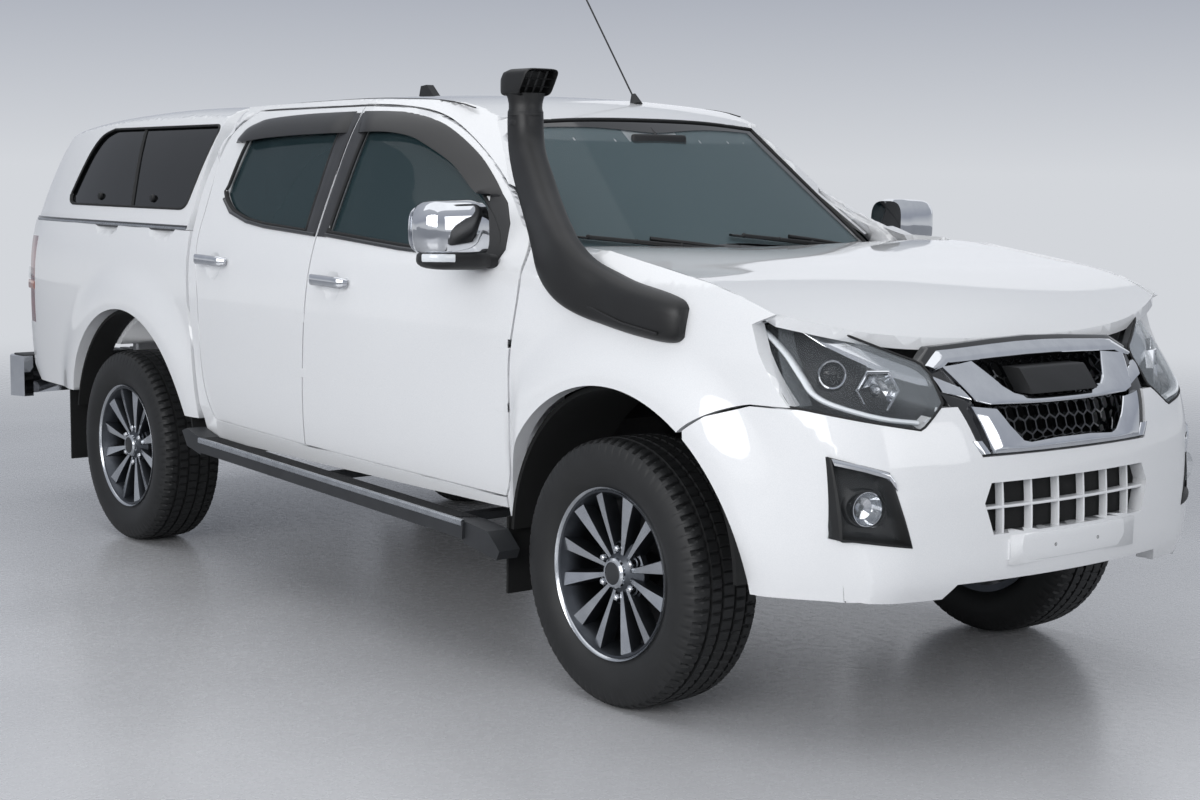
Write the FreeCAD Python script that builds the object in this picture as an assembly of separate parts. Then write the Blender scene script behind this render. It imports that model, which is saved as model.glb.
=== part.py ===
import FreeCAD, Part
import math
import os

# Lifted double-cab pickup with a fibreglass canopy and a snorkel.
# Millimetres. +X forward, +Y left, +Z up. The origin is on the ground under the middle of the vehicle.

V = FreeCAD.Vector

# Overall sizes
FRONT_END_X = 2647.5
REAR_END_X = -2647.5
BODY_HALF_WIDTH = 905.0
SHUT_GAP = 6.0
HEM_DEPTH = 24.0
HEM_STEP = 14.0
FIT = 0.3

# Wheels and axles
WHEELBASE = 3095.0
FRONT_AXLE_X = 1742.5
REAR_AXLE_X = FRONT_AXLE_X - WHEELBASE
WHEEL_Y = 785.0
TYRE_RADIUS = 381.5
TYRE_WIDTH = 258.0
RIM_RADIUS = 246.0
RIM_WIDTH = 232.0
BEAD_RADIUS = 232.0
HUB_RADIUS = 62.0
HUB_FACE_Y = WHEEL_Y + 78.0 - 42.0
KINGPIN_Y = 690.0
BALL_LOW_Z = 240.0
BALL_TOP_Z = 548.0
BALL_RADIUS = 24.0
CV_RADIUS = 48.0

# Body heights and skins
SILL_BOTTOM_Z = 490.0
SILL_TOP_Z = 548.0
BELT_Z = 1262.0
ROOF_CROWN_Z = 1762.0
DOOR_DEPTH = 95.0
FRAME_DEPTH = 45.0
PANEL_DEPTH = 45.0
GLASS_THICK = 6.0
GLASS_INSET = 16.0

# Wheel arches
FRONT_ARCH = (1735.0, 410.0, 500.0)
REAR_ARCH = (-1322.0, 395.0, 538.0)
FLARE_FRONT = 42.0
FLARE_REAR = 30.0
FLARE_SPREAD = 180.0

# Cab
CAB_BACK_TOP_X = -835.0
CAB_BACK_LEAN = 0.17
ROOF_PANEL_HALF = 585.0
ROOF_THICK = 42.0
CAB_INSIDE_HALF = 745.0
RAIL_DEPTH = 75.0
WIND_TOP_X = 812.0
WIND_TOP_Z = 1668.0
WIND_BASE_X = 1330.0
WIND_BASE_Z = 1236.0
WIND_BOW = 0.00024
WIND_INSET = 6.0
WIND_GLASS = 8.0

# Load tub and canopy
TUB_GAP = 22.0
TUB_BACK_X = -2420.0
TUB_RAIL_Z = 1258.0
TUB_FLOOR_Z = 790.0
TUB_INSIDE_HALF = 765.0
TUB_BOTTOM_Z = 560.0
TAILGATE_THICK = 55.0
CANOPY_BASE_Z = 1276.0
CANOPY_FOOT_Z = 1258.0 + FIT
CANOPY_TOP_Z = 1748.0
CANOPY_WALL = 34.0
CANOPY_FRONT_X = -868.0
CANOPY_BACK_BASE_X = -2395.0

# Frame
RAIL_Y = 395.0
RAIL_WIDTH = 70.0
RAIL_HEIGHT = 120.0
RAIL_Z = 545.0

NODES = {}


def keep(name, shape):
    NODES[name] = shape
    return shape


# Section tables of the body side: height against half width, and the plan taper along the length.
SIDE_PROFILE = ((400, -63), (480, -43), (560, -27), (680, -12), (820, -3), (950, 0), (1060, -4),
                (1150, -15), (1240, -37), (1340, -73), (1450, -116), (1560, -161), (1650, -205), (1720, -250))
PLAN_TAPER = ((-2420, 60), (-2300, 34), (-2100, 15), (-1700, 6), (-1352, 3), (-800, 3), (200, 0),
              (1000, 6), (1300, 13), (1742, 25), (2000, 38), (2200, 62), (2350, 100), (2450, 150))


def blend(table, t):
    # Smooth curve through the rows of a table, straight beyond its ends.
    last = len(table) - 1
    gaps = [(table[i + 1][1] - table[i][1]) / float(table[i + 1][0] - table[i][0]) for i in range(last)]
    if t <= table[0][0]:
        return table[0][1] + (t - table[0][0]) * gaps[0]
    if t >= table[last][0]:
        return table[last][1] + (t - table[last][0]) * gaps[-1]
    i = max(k for k in range(last) if table[k][0] <= t)
    slopes = [gaps[0]] + [(gaps[k - 1] + gaps[k]) / 2.0 for k in range(1, last)] + [gaps[-1]]
    span = float(table[i + 1][0] - table[i][0])
    s = (t - table[i][0]) / span
    start = table[i][1] * (2 * s ** 3 - 3 * s * s + 1) + slopes[i] * span * (s ** 3 - 2 * s * s + s)
    return start + table[i + 1][1] * (3 * s * s - 2 * s ** 3) + slopes[i + 1] * span * (s ** 3 - s * s)


def smooth(t):
    t = max(0.0, min(1.0, t))
    return t * t * (3 - 2 * t)


def flare(x, z):
    # The swelling of the body side round each wheel arch.
    bulge = 0.0
    for (cx, cz, radius), height in ((FRONT_ARCH, FLARE_FRONT), (REAR_ARCH, FLARE_REAR)):
        away = math.hypot(x - cx, z - cz) - radius
        bulge = max(bulge, height * smooth(1 - (away - 20) / FLARE_SPREAD))
    return bulge * (smooth((x - 1225) / 130.0) if x > 500 else 1.0)


def side_y(x, z):
    # Half width of the body skin at a place along and above.
    y = BODY_HALF_WIDTH + blend(SIDE_PROFILE, z) - blend(PLAN_TAPER, x)
    if x > 100 and z > 1200:
        y -= 195 * min(1.15, (z - 1200) / 440.0) * min(1.0, (x - 100) / 900.0) ** 1.5
    return y + flare(x, z)


def roof_z(x, y):
    crown = blend(((-900, -14), (-300, 0), (200, 0), (600, -30), (800, -92), (1200, -250)), x)
    return ROOF_CROWN_Z + crown - 0.00007 * y * y


def wind_x(y, z):
    lean = (WIND_BASE_X - WIND_TOP_X) / (WIND_BASE_Z - WIND_TOP_Z)
    return WIND_BASE_X + lean * (z - WIND_BASE_Z) - WIND_BOW * y * y


def bonnet_z(x, y):
    mid = blend(((1250, 1266), (1600, 1264), (1900, 1240), (2150, 1200), (2300, 1156), (2390, 1108),
                 (2440, 1060)), x)
    edge = blend(((1250, 1284), (1600, 1274), (1900, 1232), (2050, 1212), (2200, 1174), (2320, 1124),
                  (2440, 1040)), x)
    share = smooth(abs(y) / 800.0)
    return mid * (1 - share) + edge * share


# Shape helpers
def box(x0, x1, y0, y1, z0, z1):
    return Part.makeBox(abs(x1 - x0), abs(y1 - y0), abs(z1 - z0), V(min(x0, x1), min(y0, y1), min(z0, z1)))


def rod(start, end, radius):
    way = V(*end) - V(*start)
    return Part.makeCylinder(radius, way.Length, V(*start), way)


def mirrored(shape):
    return shape.mirror(V(0, 0, 0), V(0, 1, 0))


def fused(shapes):
    body = shapes[0]
    if len(shapes) > 1:
        body = body.fuse(shapes[1:])
    return body.removeSplitter()


def group(shapes):
    solids = []
    for shape in shapes:
        solids += shape.Solids
    return Part.makeCompound(solids)


def both_sides(shape):
    return group([shape, mirrored(shape)])


def outline(parts, place):
    # A closed wire of straight runs and curves. A part that is a list is a curve through its points.
    edges = []
    pen = None
    first = None
    for part in parts:
        points = part if isinstance(part, list) else [part]
        spots = [place(*p) for p in points]
        if pen is not None and pen.distanceToPoint(spots[0]) > 0.01:
            edges.append(Part.makeLine(pen, spots[0]))
        if len(spots) == 2:
            edges.append(Part.makeLine(spots[0], spots[1]))
        elif len(spots) > 2:
            curve = Part.BSplineCurve()
            curve.interpolate(spots)
            edges.append(curve.toShape())
        first = first or spots[0]
        pen = spots[-1]
    if pen.distanceToPoint(first) > 0.01:
        edges.append(Part.makeLine(pen, first))
    return Part.Wire(edges)


def in_runs(parts):
    # The same outline as a list of runs, each a list of points that starts where the last one ended.
    runs = []
    pen = None
    for part in parts + parts[:1]:
        points = part if isinstance(part, list) else [part]
        if pen is not None and math.dist(pen, points[0]) > 0.01:
            runs.append([pen, points[0]])
        if len(points) > 1:
            runs.append(points)
        pen = points[-1]
    return runs[:-1] if isinstance(parts[0], list) else runs


def normals(points, turn):
    # The outward direction at each point of a run.
    if len(points) == 2:
        along = [(points[1][0] - points[0][0], points[1][1] - points[0][1])] * 2
    else:
        curve = Part.BSplineCurve()
        spots = [V(a, b, 0) for a, b in points]
        curve.interpolate(spots)
        tangents = [curve.tangent(curve.parameter(spot))[0] for spot in spots]
        along = [(t.x, t.y) for t in tangents]
    return [(turn * b / math.hypot(a, b), -turn * a / math.hypot(a, b)) for a, b in along]


def grown(parts, gap):
    # The outline moved outwards by a gap, with its corners kept sharp.
    if abs(gap) < 0.001:
        return parts
    runs = in_runs(parts)
    spots = [p for run in runs for p in run[:-1]]
    area = sum(p[0] * q[1] - q[0] * p[1] for p, q in zip(spots, spots[1:] + spots[:1]))
    sides = [normals(run, 1.0 if area > 0 else -1.0) for run in runs]
    result = []
    for i, run in enumerate(runs):
        before = sides[i - 1][-1]
        after = sides[(i + 1) % len(runs)][0]
        moved = []
        for k, (point, side) in enumerate(zip(run, sides[i])):
            other = before if k == 0 else after if k == len(run) - 1 else side
            scale = gap / (1.0 + side[0] * other[0] + side[1] * other[1])
            moved.append((point[0] + scale * (side[0] + other[0]), point[1] + scale * (side[1] + other[1])))
        result.append(moved)
    return result


def in_xz(x, z):
    return V(x, 0, z)


def in_xy(x, y):
    return V(x, y, 0)


def in_yz(y, z):
    return V(0, y, z)


def prism_xz(parts, y0, y1, gap=0.0):
    face = Part.Face(outline(grown(parts, gap), in_xz))
    face.translate(V(0, y0, 0))
    return face.extrude(V(0, y1 - y0, 0))


def prism_xy(parts, z0, z1, gap=0.0):
    face = Part.Face(outline(grown(parts, gap), in_xy))
    face.translate(V(0, 0, z0))
    return face.extrude(V(0, 0, z1 - z0))


def prism_yz(parts, x0, x1, gap=0.0):
    face = Part.Face(outline(grown(parts, gap), in_yz))
    face.translate(V(x0, 0, 0))
    return face.extrude(V(x1 - x0, 0, 0))


def spread(start, end, step):
    count = max(3, int(math.ceil(abs(end - start) / float(step))))
    return [start + (end - start) * i / float(count) for i in range(count + 1)]


def skin(rows):
    surface = Part.BSplineSurface()
    surface.interpolate(rows)
    return surface.toShape()


def side_slab(x0, x1, z0, z1, outer, inner, step=110):
    # The left body side between two depths, measured outwards from the skin.
    rows = [[V(x, side_y(x, z) + inner, z) for z in spread(z0, z1, step)] for x in spread(x0, x1, step)]
    return skin(rows).extrude(V(0, outer - inner, 0))


def cylinder_y(cx, cz, radius, y0, y1):
    return Part.makeCylinder(radius, y1 - y0, V(cx, y0, cz), V(0, 1, 0))


def revolve_y(points, cx, cy, cz):
    # A closed profile of (radius, offset along Y), turned about a line along Y.
    spots = [V(cx + r, cy + y, cz) for r, y in points]
    wire = Part.makePolygon(spots + [spots[0]])
    return Part.Face(wire).revolve(V(cx, cy, cz), V(0, 1, 0), 360)


# Door outlines on the body side, from the photograph's shut lines
PILLAR_B = [(101, 1712), (99, 1420), (97, 1085), (82, 900), (44, SILL_TOP_Z)]
FRONT_DOOR = [(1206, 527), [(1206, 527), (1254, 640), (1256, 940), (1281, 1140), (1256, 1255), (1150, 1336)],
              [(1150, 1336), (908, 1479), (648, 1620), (495, 1678), (330, 1704), PILLAR_B[0]], PILLAR_B]
REAR_DOOR = [[(x - SHUT_GAP - 1, z) for x, z in reversed(PILLAR_B)],
             (-640, 1706), [(-700, 1672), (-774, 1600), (-768, 1393), (-748, 1200), (-706, 1043), (-688, 873),
                            (-672, 707), (-610, SILL_TOP_Z + 18)], (-560, SILL_TOP_Z + 18)]
FRONT_WINDOW = [(160, 1284), (610, 1256), (1120, 1236), [(1120, 1236), (1090, 1296), (908, 1404), (715, 1520), (530, 1606),
                (378, 1646), (250, 1657), (172, 1660)]]
REAR_WINDOW = [(14, 1284), (8, 1662), (-560, 1656), (-625, 1600), (-650, 1440), [(-650, 1400), (-560, 1345), (-420, 1312),
               (-278, 1298)]]


def door_blank(shape_points, gap, extra):
    # A door: full depth under the belt, thin window frame above it.
    outset = 12 if gap > 0 else 0
    slab = side_slab(-850, 1350, 440, 1745, outset, -DOOR_DEPTH - extra)
    spare = side_slab(-860, 1360, 1200, 1755, -FRAME_DEPTH - extra, -DOOR_DEPTH - 60)
    spare = spare.common(box(-900, 1400, 400, 1100, BELT_Z + extra, 1800))
    return prism_xz(shape_points, 400, 1100, gap).common(slab).cut(spare)


HINGE_Y = 884.0
HINGE_HEIGHTS = (790.0, 980.0)
HINGE_THICK = 20.0
HINGE_SLOT = 3.0
EYE_RADIUS = 9.0
HINGE_PIN = 4.0
# For each door: hinge line, radius and top of what its leading edge sweeps, and the middle of its handle.
FRONT_HINGE = (1198.0, 133.0, BELT_Z + 50)
REAR_HINGE = (30.0, 131.0, BELT_Z + 170)
FRONT_HANDLE = (259.0, 1125.0)
REAR_HANDLE = (-594.0, 1158.0)
CUP_RADIUS = 150.0
CUP_DEPTH = 14.0


def swing_room(points, hinge):
    x, radius, top = hinge
    low = SILL_TOP_Z - 30
    return Part.makeCylinder(radius, top - low, V(x, HINGE_Y, low)).common(prism_xz(points, 400, 1000, SHUT_GAP))


def hinge_arms(hinge):
    # Arms on the pillar, each with an eye round the door's pin, rooted where the door's sweep ends.
    x, radius, top = hinge
    root_y = HINGE_Y - radius
    arms = []
    for z in HINGE_HEIGHTS:
        eye = Part.makeCylinder(EYE_RADIUS, HINGE_THICK, V(x, HINGE_Y, z))
        arm = [(x - 6.5, HINGE_Y - 2), (x + 6.5, HINGE_Y + 2), (x + 44, root_y + 2), (x + 31, root_y - 2)]
        arm = prism_xy(arm, z, z + HINGE_THICK)
        arms.append(eye.fuse(arm).cut(Part.makeCylinder(HINGE_PIN + FIT, 60, V(x, HINGE_Y, z - 20))))
    return arms


def make_door(points, window, hinge, handle):
    # The outer skin overhangs the door's box by a hem, so the inner edge clears the frame as it swings.
    door = door_blank(points, 0.0, 0.0)
    rim = prism_xz(points, 400, 1100, 20).cut(prism_xz(points, 400, 1100, -HEM_STEP))
    rim = rim.common(side_slab(-850, 1350, 440, 1745, -HEM_DEPTH, -DOOR_DEPTH - 60))
    x = hinge[0]
    for z in HINGE_HEIGHTS:
        slot = box(x - EYE_RADIUS - 6, x + 120, 600, HINGE_Y + EYE_RADIUS + 1.5, z - HINGE_SLOT, z + HINGE_THICK + HINGE_SLOT)
        door = door.cut(slot).fuse(Part.makeCylinder(HINGE_PIN, HINGE_THICK + 30, V(x, HINGE_Y, z - 15)))
    x, z = handle
    cup = Part.makeSphere(CUP_RADIUS, V(x, side_y(x, z) + CUP_RADIUS - CUP_DEPTH, z))
    return door.cut(rim).cut(prism_xz(window, 400, 1100)).cut(cup)


def make_glass(window):
    pane = side_slab(-850, 1350, 1200, 1745, -GLASS_INSET, -GLASS_INSET - GLASS_THICK)
    return prism_xz(window, 400, 1100, -FIT).common(pane)


def roof_edge(x):
    # Where the side frame meets the roof panel, level in front of the windscreen corner.
    z = roof_z(min(x, 750.0), ROOF_PANEL_HALF)
    return min(ROOF_PANEL_HALF, side_y(x, z - 12) - 35), z


def make_cab_side():
    # Box-section side frame of the cab with a rebate for each door.
    stations = (-900, -500, -100, 300, 600, 850, 1050, 1200, 1340)
    wires = []
    for x in stations:
        edge_y, edge_z = roof_edge(x)
        heights = (SILL_BOTTOM_Z, 560, 750, 950, 1150, 1300, 1450, 1570, edge_z - 55)
        outer = [V(x, side_y(x, z), z) for z in heights]
        outer += [V(x, side_y(x, edge_z - 12) - 4, edge_z - 12), V(x, edge_y, edge_z)]
        curve = Part.BSplineCurve()
        curve.interpolate(outer)
        inner = [V(x, edge_y, edge_z - ROOF_THICK), V(x, edge_y - 8, edge_z - ROOF_THICK - 10)]
        inner += [V(x, side_y(x, z) - RAIL_DEPTH, z) for z in (1560, 1430, 1320)]
        inner += [V(x, CAB_INSIDE_HALF, BELT_Z), V(x, CAB_INSIDE_HALF, SILL_BOTTOM_Z)]
        chain = [outer[-1]] + inner + [outer[0]]
        lines = [Part.makeLine(chain[i], chain[i + 1]) for i in range(len(chain) - 1)]
        wires.append(Part.Wire([curve.toShape()] + lines))
    return Part.makeLoft(wires, True, False)


def cab_profile():
    low = CAB_BACK_TOP_X + CAB_BACK_LEAN * (1400 - SILL_BOTTOM_Z)
    return [(low, SILL_BOTTOM_Z - 20), (CAB_BACK_TOP_X, 1400), [(CAB_BACK_TOP_X, 1400), (-812, 1560), (-752, 1690), (-690, 1800)],
            (1400, 1800), (1400, SILL_BOTTOM_Z - 20)]


def b_pillar(x_mid, width):
    # Between the doors, just inside their inner faces, foot resting on the floor's edge.
    outer = [(side_y(x_mid, z) - depth, z) for z, depth in
             ((SILL_BOTTOM_Z + 20, 108), (700, 130), (BELT_Z + 8, 130), (BELT_Z + 40, 72), (1450, 68), (1600, 66), (1690, 66))]
    inner = [(y - 46, z) for y, z in reversed(outer[1:])] + [(outer[1][0] - 46, FLOOR_TOP_Z + 12), (CAB_INSIDE_HALF, FLOOR_TOP_Z + 12),
                                                             (CAB_INSIDE_HALF, SILL_BOTTOM_Z + 20)]
    return prism_yz(outer + inner, x_mid - width / 2.0, x_mid + width / 2.0)


FENDER_BACK_X = 1208.0
SCREEN_EDGE = [[(-690, 1256), (-622, 1400), (-556, 1560), (-522, 1650)], [(-522, 1650), (-270, 1666), (0, 1670), (270, 1666), (522, 1650)],
               [(522, 1650), (556, 1560), (622, 1400), (690, 1256)], [(690, 1256), (400, 1236), (0, 1230), (-400, 1236), (-690, 1256)]]


def wind_skin(inset):
    rows = [[V(wind_x(y, z) - inset, y, z) for y in spread(-900, 900, 150)] for z in spread(1100, 1800, 100)]
    return skin(rows)


def ahead_of_windscreen(inset):
    return wind_skin(inset).extrude(V(900, 0, 0))


def screen_room():
    # The rebate that the windscreen lies in.
    return ahead_of_windscreen(WIND_INSET + WIND_GLASS + FIT).common(prism_yz(SCREEN_EDGE, 300, 1700, FIT))


def make_cab_side_left():
    body = make_cab_side().common(prism_xz(cab_profile(), 300, 1000))
    body = body.cut(ahead_of_windscreen(0)).cut(screen_room())
    for points in (FRONT_DOOR, REAR_DOOR):
        body = body.cut(door_blank(points, SHUT_GAP, 8.0))
        body = body.cut(prism_xz(points, 400, 1000, -48))
    body = body.cut(cylinder_y(FRONT_ARCH[0], FRONT_ARCH[1], FRONT_ARCH[2] + 4, 300, 1000))
    body = body.cut(side_slab(FENDER_BACK_X, 2420, 400, 1420, 20, -PANEL_DEPTH - FIT, 95))
    body = fused([body, b_pillar(90, 120)])
    body = body.cut(swing_room(FRONT_DOOR, FRONT_HINGE)).cut(swing_room(REAR_DOOR, REAR_HINGE))
    return fused([body] + hinge_arms(FRONT_HINGE) + hinge_arms(REAR_HINGE))


def make_roof():
    rows = [[V(x, y, roof_z(x, y)) for y in spread(-ROOF_PANEL_HALF + FIT, ROOF_PANEL_HALF - FIT, 150)]
            for x in spread(-900, 900, 150)]
    panel = skin(rows).extrude(V(0, 0, -ROOF_THICK))
    edge = [(x, roof_edge(x)[0] - FIT) for x in spread(-900, 900, 50)]
    panel = panel.common(prism_xy(edge + [(x, -y) for x, y in reversed(edge)], 1400, 1900))
    panel = panel.cut(ahead_of_windscreen(0)).cut(screen_room()).common(prism_xz(cab_profile(), -1000, 1000))
    side = make_cab_side()
    side.translate(V(0, -FIT, FIT))
    return panel.cut(side).cut(mirrored(side))


BACK_THICK = 40.0


def cab_back_x(z):
    # Outer face of the cab's back wall.
    return CAB_BACK_TOP_X + CAB_BACK_LEAN * (1400 - z)


def make_cab_back():
    base = FLOOR_TOP_Z - FLOOR_THICK
    path = [(cab_back_x(base), base), (CAB_BACK_TOP_X, 1400), [(CAB_BACK_TOP_X, 1400), (-812, 1560), (-752, 1684)],
            (-752 + BACK_THICK, 1684), [(-752 + BACK_THICK, 1684), (-812 + BACK_THICK, 1560), (CAB_BACK_TOP_X + BACK_THICK, 1400)],
            (cab_back_x(base) + BACK_THICK, base)]
    wall = prism_xz(path, -1000, 1000)
    edge = CAB_INSIDE_HALF - FIT
    upper = [side_y(-780, z) - RAIL_DEPTH - 2 for z in (1320, 1430, 1560)]
    shape = [(-edge, base), (-edge, BELT_Z), (-upper[0], 1320), (-upper[1], 1430), (-upper[2], 1560), (-560, 1640), (-500, 1684),
             (500, 1684), (560, 1640), (upper[2], 1560), (upper[1], 1430), (upper[0], 1320), (edge, BELT_Z), (edge, base)]
    return wall.common(prism_yz(shape, -1000, 0)).cut(prism_yz(REAR_LIGHT, -1000, 0))


REAR_LIGHT = [(-560, 1300), [(-560, 1580), (-545, 1612), (-515, 1625)], [(515, 1625), (545, 1612), (560, 1580)],
              (560, 1300)]


def make_cab_glass():
    screen = wind_skin(WIND_INSET).extrude(V(-WIND_GLASS, 0, 0)).common(prism_yz(SCREEN_EDGE, 400, 1600))
    pane = prism_xz([(CAB_BACK_TOP_X + 18 + 17, 1298), (CAB_BACK_TOP_X + 18, 1400), (-794, 1560), (-765, 1630),
                     (-760, 1630), (-788, 1560), (CAB_BACK_TOP_X + 24, 1400), (CAB_BACK_TOP_X + 24 + 17, 1298)], -600, 600)
    pane = pane.common(prism_yz(REAR_LIGHT, -1000, 0, -FIT))
    return group([screen, pane])


FLOOR_TOP_Z = 600.0
FLOOR_THICK = 24.0
TUNNEL_HALF = 170.0
FIREWALL_X = 1232.0


def make_cab_floor():
    half = CAB_INSIDE_HALF - FIT
    rear = cab_back_x(FLOOR_TOP_Z - FLOOR_THICK) + BACK_THICK + FIT
    sheet = prism_xz([(rear, FLOOR_TOP_Z), (1090, FLOOR_TOP_Z), (FIREWALL_X, 745), (FIREWALL_X + 20, 1175),
                      (FIREWALL_X + 46, 1175), (FIREWALL_X + 26, 735), (1100, FLOOR_TOP_Z - FLOOR_THICK),
                      (rear, FLOOR_TOP_Z - FLOOR_THICK)], -half, half)
    hump = prism_yz([(-TUNNEL_HALF, FLOOR_TOP_Z - FLOOR_THICK), (-TUNNEL_HALF + 30, 780), (TUNNEL_HALF - 30, 780),
                     (TUNNEL_HALF, FLOOR_TOP_Z - FLOOR_THICK)], rear, FIREWALL_X)
    under = prism_yz([(-TUNNEL_HALF + FLOOR_THICK, FLOOR_TOP_Z - FLOOR_THICK - 1), (-TUNNEL_HALF + 52, 756),
                      (TUNNEL_HALF - 52, 756), (TUNNEL_HALF - FLOOR_THICK, FLOOR_TOP_Z - FLOOR_THICK - 1)], -680, FIREWALL_X + 60)
    floor = sheet.fuse(hump).cut(under)
    arch = FRONT_ARCH
    for side in (-1, 1):
        y = sorted((side * 480, side * 1000))
        floor = floor.cut(cylinder_y(arch[0], arch[1], arch[2] + 4, y[0], y[1]))
    return floor.removeSplitter()


# Front body
FENDER_EDGE = [(1592, 1276), (1783, 1252), (2037, 1214), (2185, 1180), (2300, 1140)]
LAMP_BACK = [(2228, 1112), (2262, 1040), (2312, 960), (2352, 905)]
GUARD_SEAM = [(2352, 905), (2240, 905), (2118, 868), (2040, 822)]


def make_fender():
    arch = FRONT_ARCH
    slab = side_slab(FENDER_BACK_X, 2420, 400, 1420, 0, -PANEL_DEPTH, 95)
    shape = [(1214, SILL_BOTTOM_Z - 25), [(1216, 527), (1264, 640), (1266, 940), (1291, 1140), (1266, 1262), (1222, 1318)],
             (1300, 1292), (1440, 1286), FENDER_EDGE, (2235, 1112), LAMP_BACK[1:], GUARD_SEAM[1:], (1900, 700), (1340, SILL_BOTTOM_Z - 25)]
    plate = prism_xz(shape, 400, 1100)
    panel = slab.common(plate).cut(cylinder_y(arch[0], arch[1], arch[2], 400, 1100))
    hinge_room = box(1300, 1460, 500, bonnet_edge_y(1452) + SHUT_GAP, 1150, 1400)
    return panel.cut(bonnet_slab(SHUT_GAP, 8)).cut(hinge_room)


BONNET_THICK = 32.0
FENDER_LIP = 15.0


def bonnet_edge_y(x):
    return side_y(x, bonnet_z(x, 780)) - FENDER_LIP


def bonnet_outline():
    side = [(x, bonnet_edge_y(x)) for x in (1452, 1600, 1783, 1950, 2100, 2200, 2290)]
    right = [(x, -y) for x, y in side]
    nose = [right[-1], (2370, -600), (2415, -380), (2440, 0), (2415, 380), (2370, 600), side[-1]]
    back = [side[0], (1400, 400), (1385, 0), (1400, -400), right[0]]
    return [right, nose, side[::-1], back]


def bonnet_slab(gap, extra):
    rows = [[V(x, y, bonnet_z(x, y) + (40 if gap > 0 else 0)) for y in spread(-880, 880, 176)]
            for x in spread(1250, 2470, 110)]
    slab = skin(rows).extrude(V(0, 0, -BONNET_THICK - extra - (40 if gap > 0 else 0)))
    return slab.common(prism_xy(bonnet_outline(), 900, 1500, gap))


BONNET_PIN_X = 1430.0
BONNET_PIN_Z = 1222.0
BONNET_PIN_Y = 610.0
PIN_RADIUS = 8.0


def barrel(x, z, y, length):
    return cylinder_y(x, z, PIN_RADIUS, y, y + length)


def make_bonnet():
    lug = box(BONNET_PIN_X - 7, BONNET_PIN_X + 7, BONNET_PIN_Y, BONNET_PIN_Y + 20, BONNET_PIN_Z, BONNET_PIN_Z + 33)
    hinge = fused([lug, barrel(BONNET_PIN_X, BONNET_PIN_Z, BONNET_PIN_Y, 20)])
    return fused([bonnet_slab(0, 0), hinge, mirrored(hinge)])


def make_cowl():
    # Plastic trough between bonnet and windscreen with two wiper arms.
    trough = prism_xy([[(1385, -745), (1380, -400), (1366, 0), (1380, 400), (1385, 745)],
                       [(1150, 735), (1225, 400), (1262, 0), (1225, -400), (1150, -735)]], 1175, 1204)
    arms = []
    for y in (520, -60):
        x = wind_x(y, 1240) + 24
        arms.append(Part.makeCylinder(14, 44, V(x, y, 1200)))
        path = [(x, y, 1238)]
        for step in range(4):
            across, high = y - 40 - 150 * step, 1256 + 14 * step
            path.append((wind_x(across, high) + 16, across, high))
        arms += [rod(path[i], path[i + 1], 6) for i in range(4)] + [Part.makeSphere(8, V(*p)) for p in path[1:]]
    y = BONNET_PIN_Y + 20 + FIT
    ear = fused([box(1372, BONNET_PIN_X + 6, y, y + 20, 1180, 1200), box(BONNET_PIN_X - 7, BONNET_PIN_X + 6, y, y + 20, 1198, BONNET_PIN_Z),
                 barrel(BONNET_PIN_X, BONNET_PIN_Z, y, 20)])
    screen = wind_skin(WIND_INSET - FIT).extrude(V(-60, 0, 0))
    return fused([trough, ear, mirrored(ear)] + [arm.cut(screen) for arm in arms])


FOG_POD = [(572, 550), (630, 748), (752, 786), (738, 572)]
LAMP_FOOT = [(424, 1000), (422, 914), (527, 848), (800, 903), (900, 905), (900, 1000)]
FOG_Y = 660.0
FOG_Z = 650.0
MOUTH = [(-315, 566), (-345, 650), (-320, 702), (320, 702), (345, 650), (315, 566)]
CHIN = [(-470, 380), (-420, 440), (420, 440), (470, 380)]
PAD_X = 2644.0
PLATE_HOLE = 3.5
PLATE_PITCH = 180.0


def front_x(y, z):
    # Front face of the bumper and nose.
    drop = blend(((380, -40), (450, -8), (560, 0), (700, -8), (800, -22), (905, -60), (1100, -215)), z)
    a = abs(y)
    return FRONT_END_X + drop - 0.00021 * a * a - 185 * smooth((a - 560) / 420.0) ** 1.3


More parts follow.
